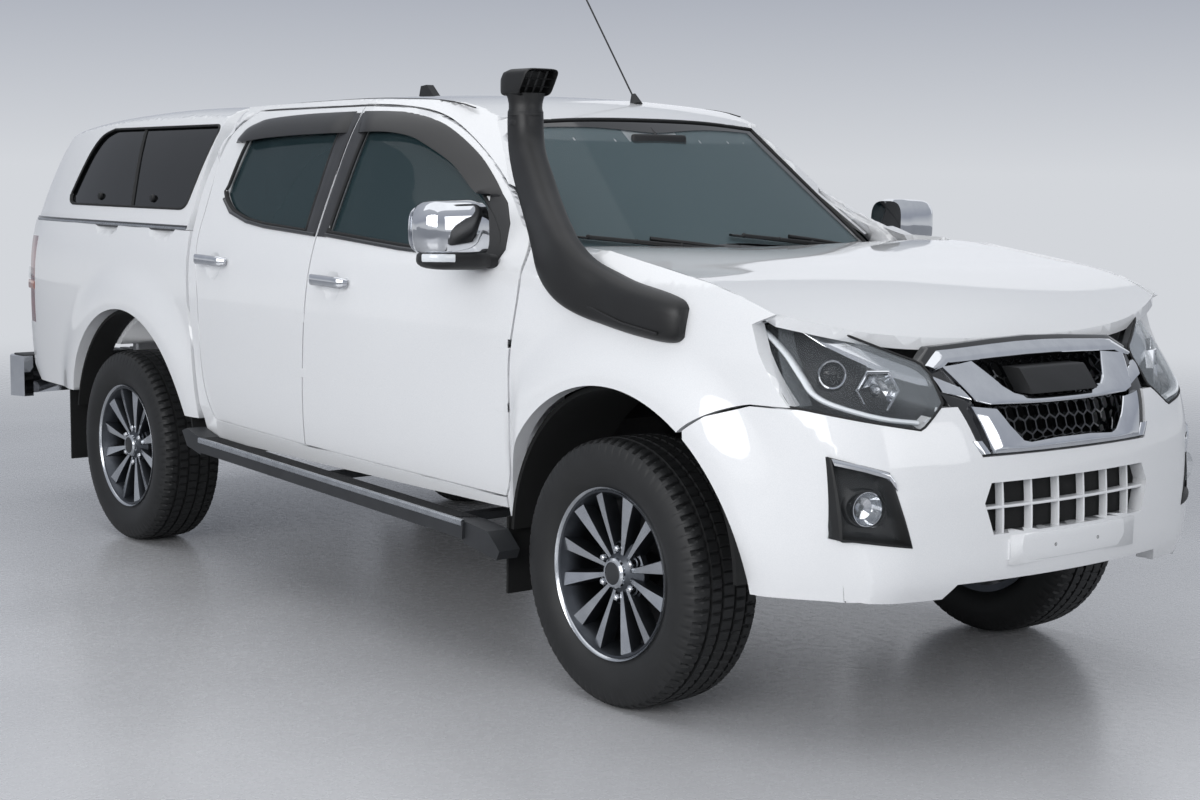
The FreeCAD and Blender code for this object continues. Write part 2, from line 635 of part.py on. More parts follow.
def make_front_bumper():
    heights = spread(400, 960, 80)
    wide = [[V(front_x(y, z), y, z) for z in heights] for y in spread(-900, 900, 100)]
    face = skin(wide).extrude(V(-620, 0, 0))
    inside = skin(wide)
    inside.translate(V(-60, 0, 0))
    hollow = inside.extrude(V(-700, 0, 0))
    zone = prism_xz([(2052, 820), (2118, 864), (2240, 900), (2700, 900), (2700, 402), (2180, 402), (2052, 440)], -1100, 1100)
    left = side_slab(2030, 2460, 390, 970, 0, -1200, 85)
    right = mirrored(side_slab(2030, 2460, 390, 970, 0, -1200, 85))
    body = face.common(zone)
    sides = left.common(box(1900, 2900, 0, 1100, 300, 1000)).fuse(right.common(box(1900, 2900, -1100, 0, 300, 1000)))
    ahead = box(2459, 2900, -700, 700, 300, 1000)
    body = body.common(sides.fuse(ahead))
    core = hollow.common(box(1800, 2800, -640, 640, 300, 1000))
    body = body.cut(core)
    arch = FRONT_ARCH
    body = body.cut(cylinder_y(arch[0], arch[1], arch[2], -1100, 1100))
    body = body.cut(box(1900, 2330, -760, 760, 300, 1000))
    mouth = prism_yz(MOUTH, 2300, 2800)
    lamp_room = prism_yz(LAMP_FOOT, 2240, 2800)
    body = body.cut(lamp_room).cut(mirrored(lamp_room)).cut(prism_yz(CHIN, 2200, 2800))
    upper = prism_yz([(-345, 770), (-430, 1000), (430, 1000), (345, 770)], 2300, 2800)
    body = body.cut(mouth).cut(upper)
    pod = prism_yz(FOG_POD, 2300, 2800)
    brackets = box(2420 + FIT, 2575, RAIL_Y - 30, RAIL_Y + 30, 510, 560)
    body = body.cut(pod).cut(mirrored(pod)).fuse([brackets, mirrored(brackets)])
    body = sorted(body.Solids, key=lambda s: s.Volume)[-1]
    pad = box(PAD_X - 70, PAD_X, -260, 260, 480, 560)
    body = body.fuse(pad).removeSplitter()
    for side in (-1, 1):
        body = body.cut(Part.makeCylinder(PLATE_HOLE, 90, V(PAD_X - 80, side * PLATE_PITCH / 2.0, 520), V(1, 0, 0)))
    return body


def make_grille():
    frame_rows = [[V(front_x(y, z) - 6, y, z) for z in spread(760, 1060, 60)] for y in spread(-460, 460, 92)]
    slab = skin(frame_rows).extrude(V(-30, 0, 0))
    outer = [(-341, 770), (-424, 1000), (-415, 1040), (415, 1040), (424, 1000), (341, 770)]
    ring = slab.common(prism_yz(outer, 2200, 2700, -FIT))
    ring = ring.cut(prism_yz([(-315, 800), (-392, 990), (-385, 1012), (385, 1012), (392, 990), (315, 800)], 2200, 2700))
    bars = []
    for z in (880, 950):
        bars.append(slab.common(box(2200, 2700, -420, 420, z - 14, z + 14)).common(prism_yz(outer, 2200, 2700, -FIT)))
    plate = slab.common(box(2200, 2700, -90, 90, 875, 985))
    return fused([ring] + bars + [plate]).cut(bonnet_slab(SHUT_GAP, 6))


def make_lamps():
    rows = [[V(front_x(y, z) - 8, y, z) for z in spread(820, 1140, 64)] for y in spread(400, 900, 60)]
    body = skin(rows).extrude(V(-160, 0, 0))
    shape = [(436, 1000), (432, 915), (528, 848 + FIT), (800, 903 + FIT), (860, 905 + FIT), (860, 1110), (800, 1118), (600, 1070)]
    shape = prism_yz(shape, 1900, 2700)
    inner = side_slab(2200, 2500, 820, 1160, -8, -400)
    lamp = body.common(shape).common(inner)
    limit = prism_xz([(2240, 1120), (2275, 1040), (2322, 962), (2362, 908), (2362, 820), (2700, 820), (2700, 1140)], 300, 1000)
    lamp = lamp.common(limit)
    lamp = lamp.cut(bonnet_slab(SHUT_GAP, 6))
    lamp = sorted(lamp.Solids, key=lambda s: s.Volume)[-1].fuse(box(2240 + FIT, 2340, 480, 520, 990, 1035))
    pod_rows = [[V(front_x(y, z) - 26, y, z) for z in spread(530, 810, 56)] for y in spread(550, 790, 60)]
    pod = skin(pod_rows).extrude(V(-24, 0, 0)).common(prism_yz(FOG_POD, 2200, 2700, -FIT))
    fog = Part.makeCylinder(44, 46, V(front_x(FOG_Y, FOG_Z) - 60, FOG_Y, FOG_Z), V(1, 0, 0))
    return group([lamp, mirrored(lamp), fused([pod, fog]), mirrored(fused([pod, fog]))])


def make_radiator_panel():
    panel = box(2200, 2240, -560, 560, 640, 1080)
    beams = [box(2180, 2240, -700, 700, 1060, 1110), box(2180, 2240, -540, 540, RAIL_Z + 60 + FIT, 650)]
    return fused([panel] + beams)


# Rear body
def tub_front_x(z):
    return CAB_BACK_TOP_X + CAB_BACK_LEAN * (1400 - z) - TUB_GAP


TAILGATE_PIN_X = TUB_BACK_X + 15.0
TAILGATE_PIN_Z = 765.0


def make_tub_side():
    arch = REAR_ARCH
    slab = side_slab(-2430, -560, 520, TUB_RAIL_Z + 30, 0, -140 - 160, 95)
    shape = [(tub_front_x(TUB_BOTTOM_Z), TUB_BOTTOM_Z), (tub_front_x(TUB_RAIL_Z), TUB_RAIL_Z),
             (TUB_BACK_X, TUB_RAIL_Z), (TUB_BACK_X, 640), (-2300, TUB_BOTTOM_Z)]
    side = slab.common(prism_xz(shape, TUB_INSIDE_HALF, 1100))
    corner = prism_xy([(-500, 700), (-500, 1100), (TUB_BACK_X + 130, 1100), [(TUB_BACK_X + 130, side_y(-2290, 950)),
                      (TUB_BACK_X + 45, side_y(-2290, 950) - 22), (TUB_BACK_X, side_y(-2290, 950) - 82)], (TUB_BACK_X, 700)], 500, 1400)
    side = side.common(corner)
    pin = cylinder_y(TAILGATE_PIN_X, TAILGATE_PIN_Z, 9, TUB_INSIDE_HALF - 8 + FIT, TUB_INSIDE_HALF + 5)
    return side.cut(cylinder_y(arch[0], arch[1], arch[2], 600, 1100)).fuse(pin)


def lamp_zone(gap):
    y = side_y(-2290, 950)
    back = TUB_BACK_X
    zone = [(back - 8, y - 118), (back + 34, y - 118), (back + 44, y - 84), (back + 76, y - 48), (back + 134, y - 34),
            (back + 134, y + 30), (back - 8, y + 30)]
    return prism_xy(zone, 815 - gap, 1190 + gap, gap)


def make_tub_floor():
    front = tub_front_x(TUB_FLOOR_Z)
    half = TUB_INSIDE_HALF - FIT
    floor = box(TUB_BACK_X + TAILGATE_THICK + 11, front, -half, half, TUB_FLOOR_Z - 30, TUB_FLOOR_Z)
    top = tub_front_x(TUB_RAIL_Z)
    wall = prism_xz([(tub_front_x(700), 700), (top, TUB_RAIL_Z), (top - 45, TUB_RAIL_Z), (top - 45, 700)], -half, half)
    house = cylinder_y(REAR_AXLE_X, TYRE_RADIUS + 60, 470, 560, half).fuse(cylinder_y(REAR_AXLE_X, TYRE_RADIUS + 60, 470, -half, -560))
    room = cylinder_y(REAR_AXLE_X, TYRE_RADIUS + 60, 446, 584, half + 5).fuse(cylinder_y(REAR_AXLE_X, TYRE_RADIUS + 60, 446, -half - 5, -584))
    ribs = []
    for i in range(4):
        x = front - 200 - 330 * i
        low = max(rail_top(x), rail_top(x - 30), rail_top(x - 60)) + FIT
        ribs.append(box(x - 60, x, -half + 215, half - 215, low, TUB_FLOOR_Z - 29))
    body = fused([floor, wall, house.cut(box(-3000, 0, -1000, 1000, -500, TUB_FLOOR_Z - 30))] + ribs)
    return body.cut(room)


def make_tailgate():
    half = TUB_INSIDE_HALF - 8
    gate = box(TUB_BACK_X, TUB_BACK_X + TAILGATE_THICK, -half, half, TUB_FLOOR_Z - 40, TUB_RAIL_Z - 4)
    recess = box(TUB_BACK_X - 5, TUB_BACK_X + 22, -120, 120, 1120, 1180)
    return gate.cut(recess)


def canopy_half(x, z):
    lean = blend(((CANOPY_BASE_Z, 0), (1400, -42), (1550, -98), (1640, -140), (1700, -180)), z)
    plan = blend(((-2400, -58), (-2200, -30), (-1900, -8), (-1400, 0), (-868, 0)), x)
    return 852 + lean + plan


def canopy_roof(x, y):
    crown = blend(((-2400, -85), (-2200, -52), (-1900, -22), (-1400, 0), (-868, 0)), x)
    return CANOPY_TOP_Z + crown - 0.00008 * y * y


def canopy_section(x, wall):
    # Half tunnel section of the canopy from base to crown and back to the other side.
    heights = (CANOPY_FOOT_Z, 1350, 1430, 1520, 1600)
    side = [V(x, canopy_half(x, z) - wall, z) for z in heights]
    edge = canopy_roof(x, 600)
    shoulder = [V(x, canopy_half(x, edge - 40) - 4 - wall * 0.8, edge - 40 - wall * 0.5), V(x, 600 - wall * 0.7, edge - 4 - wall * 0.9)]
    top = [V(x, y, canopy_roof(x, y) - wall) for y in (400, 200, 0)]
    half = side + shoulder + top
    whole = half + [V(p.x, -p.y, p.z) for p in reversed(half[:-1])]
    curve = Part.BSplineCurve()
    curve.interpolate(whole)
    return Part.Wire([curve.toShape(), Part.makeLine(whole[-1], whole[0])])


def make_canopy():
    stations = (-2450, -2250, -2050, -1800, -1500, -1150, -860)
    outer = Part.makeLoft([canopy_section(x, 0) for x in stations], True, False)
    inner = Part.makeLoft([canopy_section(x, CANOPY_WALL) for x in stations], True, False)
    inner.translate(V(0, 0, -1))
    back = [(CANOPY_BACK_BASE_X, CANOPY_FOOT_Z - 20), [(CANOPY_BACK_BASE_X + 5, 1300), (-2360, 1440), (-2290, 1590), (-2215, 1680)],
            (-2100, 1800), (CANOPY_FRONT_X + 10, 1800), (CANOPY_FRONT_X, CANOPY_FOOT_Z - 20)]
    outer = outer.common(prism_xz(back, -1000, 1000))
    room = [(-2500, CANOPY_FOOT_Z - 30), (-2500, 1800), (CANOPY_FRONT_X - CANOPY_WALL, 1800), (CANOPY_FRONT_X - CANOPY_WALL, CANOPY_FOOT_Z - 30)]
    shell = outer.cut(inner.common(prism_xz(room, -1000, 1000)))
    shell = shell.cut(prism_xz(CANOPY_WINDOW, -1100, 1100))
    hatch = prism_yz(HATCH, -2600, -2100, SHUT_GAP)
    shell = shell.cut(hatch)
    front = prism_yz([(-470, 1330), (-440, 1600), (440, 1600), (470, 1330)], -950, -800)
    y = HATCH_PIN_Y + 26 + FIT
    ear = fused([box(HATCH_PIN_X - 4, HATCH_PIN_X + 50, y, y + 26, HATCH_PIN_Z - 6, HATCH_PIN_Z + 6),
                 barrel(HATCH_PIN_X, HATCH_PIN_Z, y, 26)])
    return fused([shell.cut(front), ear, mirrored(ear)])


CANOPY_WINDOW = [(-1985, 1336), [(-1985, 1336), (-2030, 1352), (-2040, 1380)], [(-2040, 1380), (-1960, 1560), (-1900, 1620), (-1810, 1648)],
                 (-900, 1656), [(-900, 1656), (-872, 1644), (-876, 1610)], (-922, 1376), [(-922, 1376), (-940, 1342), (-985, 1336)]]
HATCH = [(-640, 1292), [(-650, 1330), (-640, 1460), (-560, 1622)], [(-560, 1622), (-300, 1650), (0, 1658), (300, 1650), (560, 1622)],
         [(560, 1622), (640, 1460), (650, 1330)], (640, 1292)]


def hatch_slab(outset, thick):
    path = [[(CANOPY_BACK_BASE_X + 3, 1285), (-2360, 1440), (-2290, 1590), (-2215, 1680)]]
    outer = Part.BSplineCurve()
    outer.interpolate([V(x - outset, 0, z) for x, z in path[0]])
    edge = outer.toShape()
    edge.translate(V(0, -800, 0))
    face = edge.extrude(V(0, 1600, 0))
    return face.extrude(V(thick, 0, 0))


HATCH_PIN_X = -2246.0
HATCH_PIN_Z = 1676.0
HATCH_PIN_Y = 380.0


def make_canopy_door():
    pane = hatch_slab(0, 26).common(prism_yz(HATCH, -2600, -2000))
    y = HATCH_PIN_Y
    leaf = prism_xz([(HATCH_PIN_X - 7, HATCH_PIN_Z), (HATCH_PIN_X + 4, HATCH_PIN_Z), (-2249, 1640), (-2254, 1620), (-2266, 1624)], y, y + 26)
    hinge = fused([leaf, barrel(HATCH_PIN_X, HATCH_PIN_Z, y, 26)])
    return fused([pane, hinge, mirrored(hinge)])


def make_canopy_glass():
    rows = [[V(x, canopy_half(x, z) - 10, z) for z in spread(1320, 1670, 60)] for x in spread(-2080, -850, 120)]
    pane = skin(rows).extrude(V(0, -GLASS_THICK, 0)).common(prism_xz(CANOPY_WINDOW, 400, 1100, -FIT))
    front = box(CANOPY_FRONT_X - 20, CANOPY_FRONT_X - 14, -500, 500, 1300, 1620)
    front = front.common(prism_yz([(-470, 1330), (-440, 1600), (440, 1600), (470, 1330)], -950, -800, -FIT))
    return group([pane, mirrored(pane), front])


BALL_BORE = 12.5
STEP_Z = 600.0
STEP_THICK = 32.0


def make_rear_bumper():
    # Chromed bar hollow behind, a tread plate and the tongue that takes a tow ball.
    outer = [(-2462, -858), (-2540, -890), (-2600, -860), (REAR_END_X, -560), (REAR_END_X, 560), (-2600, 860), (-2540, 890),
             (-2462, 858)]
    inner = [(-2462, 816), (-2540, 846), (-2572, 820), (REAR_END_X + 36, 545), (REAR_END_X + 36, -545), (-2572, -820),
             (-2540, -846), (-2462, -816)]
    bar = prism_xy(outer + inner, 470, 650)
    step = box(REAR_END_X + 30, -2440, -520, 520, STEP_Z, STEP_Z + STEP_THICK)
    arms = [box(-2500, -2390 - FIT, y - 35, y + 35, 520, STEP_Z + 2) for y in (-RAIL_Y, RAIL_Y)]
    legs = [box(-2600, -2440, y - 6, y + 6, 520, STEP_Z + 2) for y in (-RAIL_Y, RAIL_Y)]
    body = fused([bar, step] + arms + legs)
    return body.cut(Part.makeCylinder(BALL_BORE, 100, V(-2560, 0, STEP_Z - 30)))


def make_tail_lamps():
    return both_sides(make_tub_side().common(lamp_zone(-FIT)))


# Chassis
RAIL_LINE = ((2420, -60), (1900, -60), (1200, -60), (-700, -60), (-1050, 10), (-1650, 10), (-1950, -30), (-2390, -30))


def rail_top_line():
    # Height of the rail's upper face, kept below the cab floor.
    line = [(x, RAIL_Z + z + RAIL_HEIGHT) for x, z in RAIL_LINE]
    return [(x, min(z, FLOOR_TOP_Z - FLOOR_THICK - 12)) if -1000 < x < 1300 else (x, z) for x, z in line]


def rail_top(x):
    line = rail_top_line()
    for (xa, za), (xb, zb) in zip(line, line[1:]):
        if xb <= x <= xa:
            return za + (zb - za) * (x - xa) / (xb - xa)
    return line[-1][1]


def make_chassis():
    under = [(x, RAIL_Z + z) for x, z in RAIL_LINE]
    over = rail_top_line()[::-1]
    rail = prism_xz(under + over, RAIL_Y - RAIL_WIDTH / 2.0, RAIL_Y + RAIL_WIDTH / 2.0)
    reach = RAIL_Y - RAIL_WIDTH / 2.0
    cross = [rod((x, -reach, z), (x, reach, z), r) for x, z, r in
             ((2330, RAIL_Z, 40), (560, RAIL_Z - 77, 25), (-640, RAIL_Z - 5, 28), (-1900, RAIL_Z + 55, 30), (-2340, RAIL_Z + 30, 40))]
    mounts = []
    for x in (1000, 150, -560):
        for side in (-1, 1):
            y = sorted((side * (RAIL_Y + RAIL_WIDTH / 2.0 - 2), side * 640))
            mounts.append(box(x - 35, x + 35, y[0], y[1], RAIL_Z - 25, FLOOR_TOP_Z - FLOOR_THICK - FIT))
    return fused([rail, mirrored(rail)] + cross + mounts)


def make_engine():
    block = box(1300, 1900, -230, 230, 610, 1080)
    ends = []
    for x, half, low, high in ((1300, 114, 499, 725), (1120, 110, 502, 715), (380, 90, 510, 690)):
        ends.append(Part.makePolygon([V(x, -half, low), V(x, half, low), V(x, half, high), V(x, -half, high), V(x, -half, low)]))
    gear = Part.makeLoft(ends, True, True)
    pan = box(1298, 1850, -150, 150, 520, 620)
    case = box(420, 640, 60, 205, 505, 565)
    feet = [box(1500, 1600, y0, y1, 560, 640) for y0, y1 in ((-RAIL_Y + RAIL_WIDTH / 2.0 + FIT, -228), (228, RAIL_Y - RAIL_WIDTH / 2.0 - FIT))]
    return fused([block, gear, pan, case] + feet)


def pipe(points, radius):
    # Straight tube runs with a ball at each bend.
    solids = [rod(points[i], points[i + 1], radius) for i in range(len(points) - 1)]
    solids += [Part.makeSphere(radius, V(*p)) for p in points[1:-1]]
    return solids


def make_exhaust():
    y = -265
    run = pipe([(1290, -250, 548), (1050, y, 530), (300, y, 525), (110, y, 490)], 27)
    tail = pipe([(-510, y, 475), (-700, y, 470), (-1080, y - 20, 640), (-1480, y - 20, 640),
                 (-1800, y - 10, 520), (-2250, y - 60, 480), (-2330, -560, 460)], 27)
    muffler = rod((120, y, 490), (-520, y, 475), 74)
    rail_face = -RAIL_Y + RAIL_WIDTH / 2.0 + FIT
    hangers = [rod((x, y - reach, z), (x, rail_face, z), 8) for x, z, reach in ((-200, 500, 40), (900, 529, 10))]
    return fused(run + tail + [muffler] + hangers)


def make_fuel_tank():
    rail_face = RAIL_Y - RAIL_WIDTH / 2.0 - FIT
    return prism_yz([(150, 430), (rail_face, 430), (rail_face, 540), (310, 568), (170, 568), (150, 540)], -560, 60)


def make_drive_shafts():
    rear = rod((378, 0, 590), (REAR_AXLE_X + 190, 0, TYRE_RADIUS + 25), 32)
    yokes = [Part.makeSphere(48, V(350, 0, 588)), Part.makeSphere(46, V(REAR_AXLE_X + 235, 0, TYRE_RADIUS + 28))]
    front = rod((630, 170, 535), (FRONT_AXLE_X - 90, 150, TYRE_RADIUS + 12), 24)
    engine = make_engine()
    return group([fused([rear] + yokes).cut(engine).cut(make_rear_axle()), front.cut(engine).cut(make_suspension())])


def make_rear_axle():
    z = TYRE_RADIUS
    tube = rod((REAR_AXLE_X, -655, z), (REAR_AXLE_X, 655, z), 42)
    ball = Part.makeSphere(140, V(REAR_AXLE_X, 0, z)).common(box(-3000, 0, -135, 135, 200, 700))
    nose = Part.makeCone(95, 55, 190, V(REAR_AXLE_X, 0, z), V(1, 0, 0.12))
    drums = [rod((REAR_AXLE_X, s * 655, z), (REAR_AXLE_X, s * 715, z), 150) for s in (-1, 1)]
    hubs = [rod((REAR_AXLE_X, s * 700, z), (REAR_AXLE_X, s * (HUB_FACE_Y - FIT), z), 52) for s in (-1, 1)]
    return fused([tube, ball, nose] + drums + hubs)


# The top arm's elbow lies low enough to clear the rim's lip at full lock.
ELBOW_REACH = 82.0
ELBOW_Z = 606.0


def make_suspension():
    pieces = []
    z = TYRE_RADIUS
    leaf_y = 520
    for side in (1, -1):
        y0, y1 = sorted((side * (leaf_y - 30), side * (leaf_y + 30)))
        arc = [(REAR_AXLE_X + 690, z + 141), (REAR_AXLE_X, z + 46), (REAR_AXLE_X - 720, z + 190)]
        low = [(x, h) for x, h in arc]
        curve_low = [low]
        curve_top = [[(x, h + 14) for x, h in reversed(arc)]]
        main = prism_xz(curve_low + curve_top, y0, y1)
        second = prism_xz([[(REAR_AXLE_X + 430, z + 96), (REAR_AXLE_X, z + 44), (REAR_AXLE_X - 450, z + 108)],
                           [(REAR_AXLE_X - 450, z + 122), (REAR_AXLE_X, z + 60), (REAR_AXLE_X + 430, z + 110)]], y0, y1)
        pad = box(REAR_AXLE_X - 70, REAR_AXLE_X + 70, y0, y1, z + 42.3, z + 62)
        eyes = [cylinder_y(REAR_AXLE_X + 700, z + 150, 24, y0, y1), cylinder_y(REAR_AXLE_X - 730, z + 198, 24, y0, y1)]
        inner = sorted((side * (RAIL_Y + RAIL_WIDTH / 2.0 + FIT), side * (leaf_y + 30)))
        hangers = [cylinder_y(REAR_AXLE_X + 700, z + 150, 15, inner[0], inner[1]), cylinder_y(REAR_AXLE_X - 730, z + 198, 15, inner[0], inner[1])]
        pieces.append(fused([main, second, pad] + eyes + hangers))
        x = FRONT_AXLE_X
        king = side * KINGPIN_Y
        low_in = side * (RAIL_Y + 38)
        low_arm = [rod((x + 180, low_in, 330), (x, king, BALL_LOW_Z), 15),
                   rod((x - 180, low_in, 330), (x, king, BALL_LOW_Z), 15), Part.makeSphere(BALL_RADIUS, V(x, king, BALL_LOW_Z)),
                   rod((x - 220, side * (RAIL_Y + 10), 345), (x + 220, side * (RAIL_Y + 10), 345), 26)]
        ear_y = sorted((side * (RAIL_Y - 30), side * (RAIL_Y + 30)))
        ears = [box(x - 160, x + 160, ear_y[0], ear_y[1], 345, RAIL_Z - 60 - FIT)]
        strut = [rod((x + 10, side * 545, 300), (x + 10, side * 500, 760), 30),
                 rod((x + 10, side * 533, 430), (x + 10, side * 505, 730), 48)]
        tower_y = sorted((side * (RAIL_Y + 36), side * 560))
        post_y = sorted((side * (RAIL_Y - 20), side * (RAIL_Y + 60)))
        tower = [box(x - 60, x + 80, tower_y[0], tower_y[1], 740, 772),
                 box(x - 60, x + 80, post_y[0], post_y[1], RAIL_Z + 60 + FIT, 772)]
        top_in = side * (RAIL_Y + 57)
        elbow = (x, side * (KINGPIN_Y - ELBOW_REACH), ELBOW_Z)
        top_arm = [rod((x + 90, top_in, 690), elbow, 13),
                   rod((x - 90, top_in, 690), elbow, 13),
                   rod(elbow, (x, king, BALL_TOP_Z), 13),
                   Part.makeSphere(BALL_RADIUS, V(x, king, BALL_TOP_Z)),
                   rod((x - 95, top_in, 690), (x + 95, top_in, 690), 17)]
        pieces.append(fused(low_arm + ears + strut + tower + top_arm))
    front_diff = Part.makeSphere(110, V(FRONT_AXLE_X, 60, TYRE_RADIUS)).common(box(0, 3000, -60, 180, 200, 600))
    reach = KINGPIN_Y - CV_RADIUS - 1
    shafts = [rod((FRONT_AXLE_X, -reach, TYRE_RADIUS), (FRONT_AXLE_X, reach, TYRE_RADIUS), 16)]
    boots = [Part.makeCone(40, 17, 60, V(FRONT_AXLE_X, s * (reach - 66), TYRE_RADIUS), V(0, s, 0)) for s in (-1, 1)]
    pieces.append(fused([front_diff] + shafts + boots))
    return group(pieces)


def make_side_steps():
    y_out = 962
    y_in = 886
    deck = prism_xz([(1120, 392), (-600, 452), (-596, 500), (1124, 444)], y_in - 10, y_out)
    front = prism_xz([(1285, 352), (1110, 378), (1110, 446), (1240, 432), (1300, 380)], y_in - 10, y_out - 10)
    rear = prism_xz([(-592, 440), (-592, 502), (-700, 528), (-740, 515), (-700, 462)], y_in - 10, y_out - 10)
    arms = []
    for x in (950, 150, -450):
        z = 420 + (1000 - x) * 0.035
        arms.append(box(x - 25, x + 25, 642, y_in, z - 12, z + 12))
        arms.append(box(x - 25, x + 25, 640 + FIT, 672, z - 12, RAIL_Z + 18))
    step = fused([deck, front, rear] + arms)
    return both_sides(step)


def make_snorkel():
    # Ducted intake on the right fender, up the windscreen pillar to a forward facing head.
    base = prism_xz([[(1550, 1078), (1520, 1140), (1470, 1215), (1400, 1290)], (1560, 1290), (1620, 1245), (1700, 1225), (1860, 1195),
                     (2040, 1158), (2062, 1130), (1990, 1045), (1960, 1036)], -1000, -820)
    cover = mirrored(side_slab(1380, 2080, 1020, 1300, 48, -20, 100))
    base = base.common(cover)
    stem_path = [(1440, -868, 1262), (1300, -806, 1390), (1190, -768, 1500), (1140, -748, 1570), (1133, -742, 1660)]
    rings = []
    for i, (x, y, z) in enumerate(stem_path):
        before = V(*stem_path[max(0, i - 1)])
        after = V(*stem_path[min(len(stem_path) - 1, i + 1)])
        way = after - before
        way.normalize()
        ring = Part.Wire([Part.Ellipse(V(0, 0, 0), 74, 44).toShape()])
        ring.Placement = FreeCAD.Placement(V(x, y, z), FreeCAD.Rotation(V(0, 0, 1), way))
        rings.append(ring)
    stem = Part.makeLoft(rings, True, False)
    neck = Part.makeCylinder(66, 56, V(1133, -742, 1655))
    head = prism_xz([(1030, 1712), (1080, 1705), (1290, 1705), (1328, 1784), (1300, 1795), (1060, 1795), (1034, 1770)], -820, -664)
    mouth = box(1262, 1400, -808, -676, 1718, 1783)
    body = fused([base, stem, neck, head.cut(mouth)])
    return body.cut(mirrored(side_slab(FENDER_BACK_X, 2420, 400, 1420, FIT, -200, 95)))


def make_arch_liners():
    pieces = []
    cx, cz, radius = FRONT_ARCH
    shell = cylinder_y(cx, cz, radius - FIT, 560, side_y(cx, 900) - 60).cut(cylinder_y(cx, cz, radius - 14, 500, 1000))
    shell = shell.cut(box(0, 4000, 0, 1000, -500, cz + 20))
    pieces.append(shell)
    cx, cz, radius = REAR_ARCH
    rear = cylinder_y(cx, cz, radius - FIT, TUB_INSIDE_HALF + 4, side_y(cx, 900) - 55).cut(cylinder_y(cx, cz, radius - 12, 500, 1000))
    rear = rear.cut(box(-4000, 0, 0, 1000, -500, cz + 100))
    pieces.append(rear)
    for x, y1, z0, z1 in ((1222, 862, 229, SILL_BOTTOM_Z - 25 - FIT), (REAR_ARCH[0] - REAR_ARCH[2] - 28, 890, 262, TUB_BOTTOM_Z - FIT)):
        pieces.append(box(x - 10, x, 660, y1, z0, z1))
    return group([both_sides(p) for p in pieces])


def make_aerials():
    whip = rod((560, 150, roof_z(560, 150) + 18), (250, 150, roof_z(560, 150) + 420), 3)
    foot = Part.makeCone(24, 8, 40, V(574, 150, roof_z(560, 150) - 8), V(-0.4, 0, 1))
    fin = prism_xz([(-420, ROOF_CROWN_Z - 10), (-500, 1800 + 22), (-540, 1800 + 18), (-560, ROOF_CROWN_Z - 10)], -16, 16)
    roof = make_roof()
    roof.translate(V(0, 0, FIT))
    return group([fused([foot, whip]).cut(roof), fin.cut(roof)])


# Cab interior
def seat(x, y, width):
    half = width / 2.0
    cushion = box(x - 20, x + 470, y - half, y + half, 790, 915)
    back = prism_xz([(x - 10, 870), (x + 110, 880), (x - 40, 1420), (x - 130, 1410)], y - half + 10, y + half - 10)
    rest = prism_xz([(x - 55, 1430), (x - 135, 1425), (x - 150, 1590), (x - 78, 1600)], y - 125, y + 125)
    stalks = [rod((x - 90, y + s * 60, 1400), (x - 98, y + s * 60, 1440), 7) for s in (-1, 1)]
    base = box(x + 20, x + 420, y - half + 56, y + half - 56, 640, 792)
    rails = [box(x, x + 440, y + s * (half - 70) - 18, y + s * (half - 70) + 18, FLOOR_TOP_Z + FIT, 645) for s in (-1, 1)]
    return fused([cushion, back, rest, base] + stalks + rails)


def make_front_seats():
    return both_sides(seat(205, 372, 490))


def make_rear_bench():
    cushion = box(-560, -130, -640, 640, 800, 920)
    base = box(-540, -200, -600, 600, FLOOR_TOP_Z + FIT, 802)
    base = base.cut(prism_yz([(-TUNNEL_HALF - 4, 590), (-TUNNEL_HALF - 4, 784), (TUNNEL_HALF + 4, 784), (TUNNEL_HALF + 4, 590)], -600, 0))
    back = prism_xz([(-560, 880), (-440, 890), (-610, 1400), (-700, 1390)], -640, 640)
    rests = [prism_xz([(-625, 1405), (-700, 1400), (-722, 1500), (-660, 1520)], y - 110, y + 110) for y in (-380, 380)]
    stalks = [rod((-655, y, 1370), (-667, y, 1430), 7) for y in (-440, -320, 320, 440)]
    return fused([cushion, base, back] + rests + stalks)


def make_dashboard():
    half = CAB_INSIDE_HALF
    body = prism_xz([(1228, 1166), (960, 1188), (890, 1150), (880, 1010), (950, 900), (1215, 860)], -half + 5, half - 5)
    body = body.cut(box(870, 940, -180, 180, 1060, 1160))
    console = prism_xz([(960, 905), (900, 920), (300, 870), (300, 780 + FIT), (1190, 780 + FIT), (1215, 900)], -110, 110)
    column = rod((900, STEERING_Y, 1040), (830, STEERING_Y, 1068), 38)
    return fused([body, console, column])


STEERING_Y = 375.0
WHEEL_HUB = (806.0, STEERING_Y, 1078.0)
WHEEL_AXIS = (-0.92, 0.0, 0.39)


def make_steering_wheel():
    axis = V(*WHEEL_AXIS)
    centre = V(*WHEEL_HUB)
    rim = Part.makeTorus(182, 16)
    rim.Placement = FreeCAD.Placement(centre, FreeCAD.Rotation(V(0, 0, 1), axis))
    hub = Part.makeCylinder(62, 36, centre - axis * 18, axis)
    solids = [rim, hub, Part.makeCylinder(20, 12, centre - axis * 25.2, axis)]
    across = V(0, 1, 0)
    down = axis.cross(across)
    for way in (across, across * -1, down * (1 if down.z < 0 else -1)):
        solids.append(Part.makeCylinder(15, 132, centre + way * 48, way))
    return fused(solids)


# Mirrors, wheels and steering
def make_mirror():
    head = prism_yz([(905, 1165), (985, 1160), (1040, 1185), (1046, 1330), (1020, 1352), (905, 1350)], 985, 1165)
    head = head.common(Part.makeCylinder(170, 300, V(1090, 975, 1100)))
    arm = box(1090, 1150, side_y(1120, 1240) - 5, 925, 1215, 1245)
    foot = side_slab(1070, 1190, 1205, 1300, 14, -4, 60)
    return fused([head, arm, foot]).cut(side_slab(-850, 1350, 440, 1745, FIT, -60))


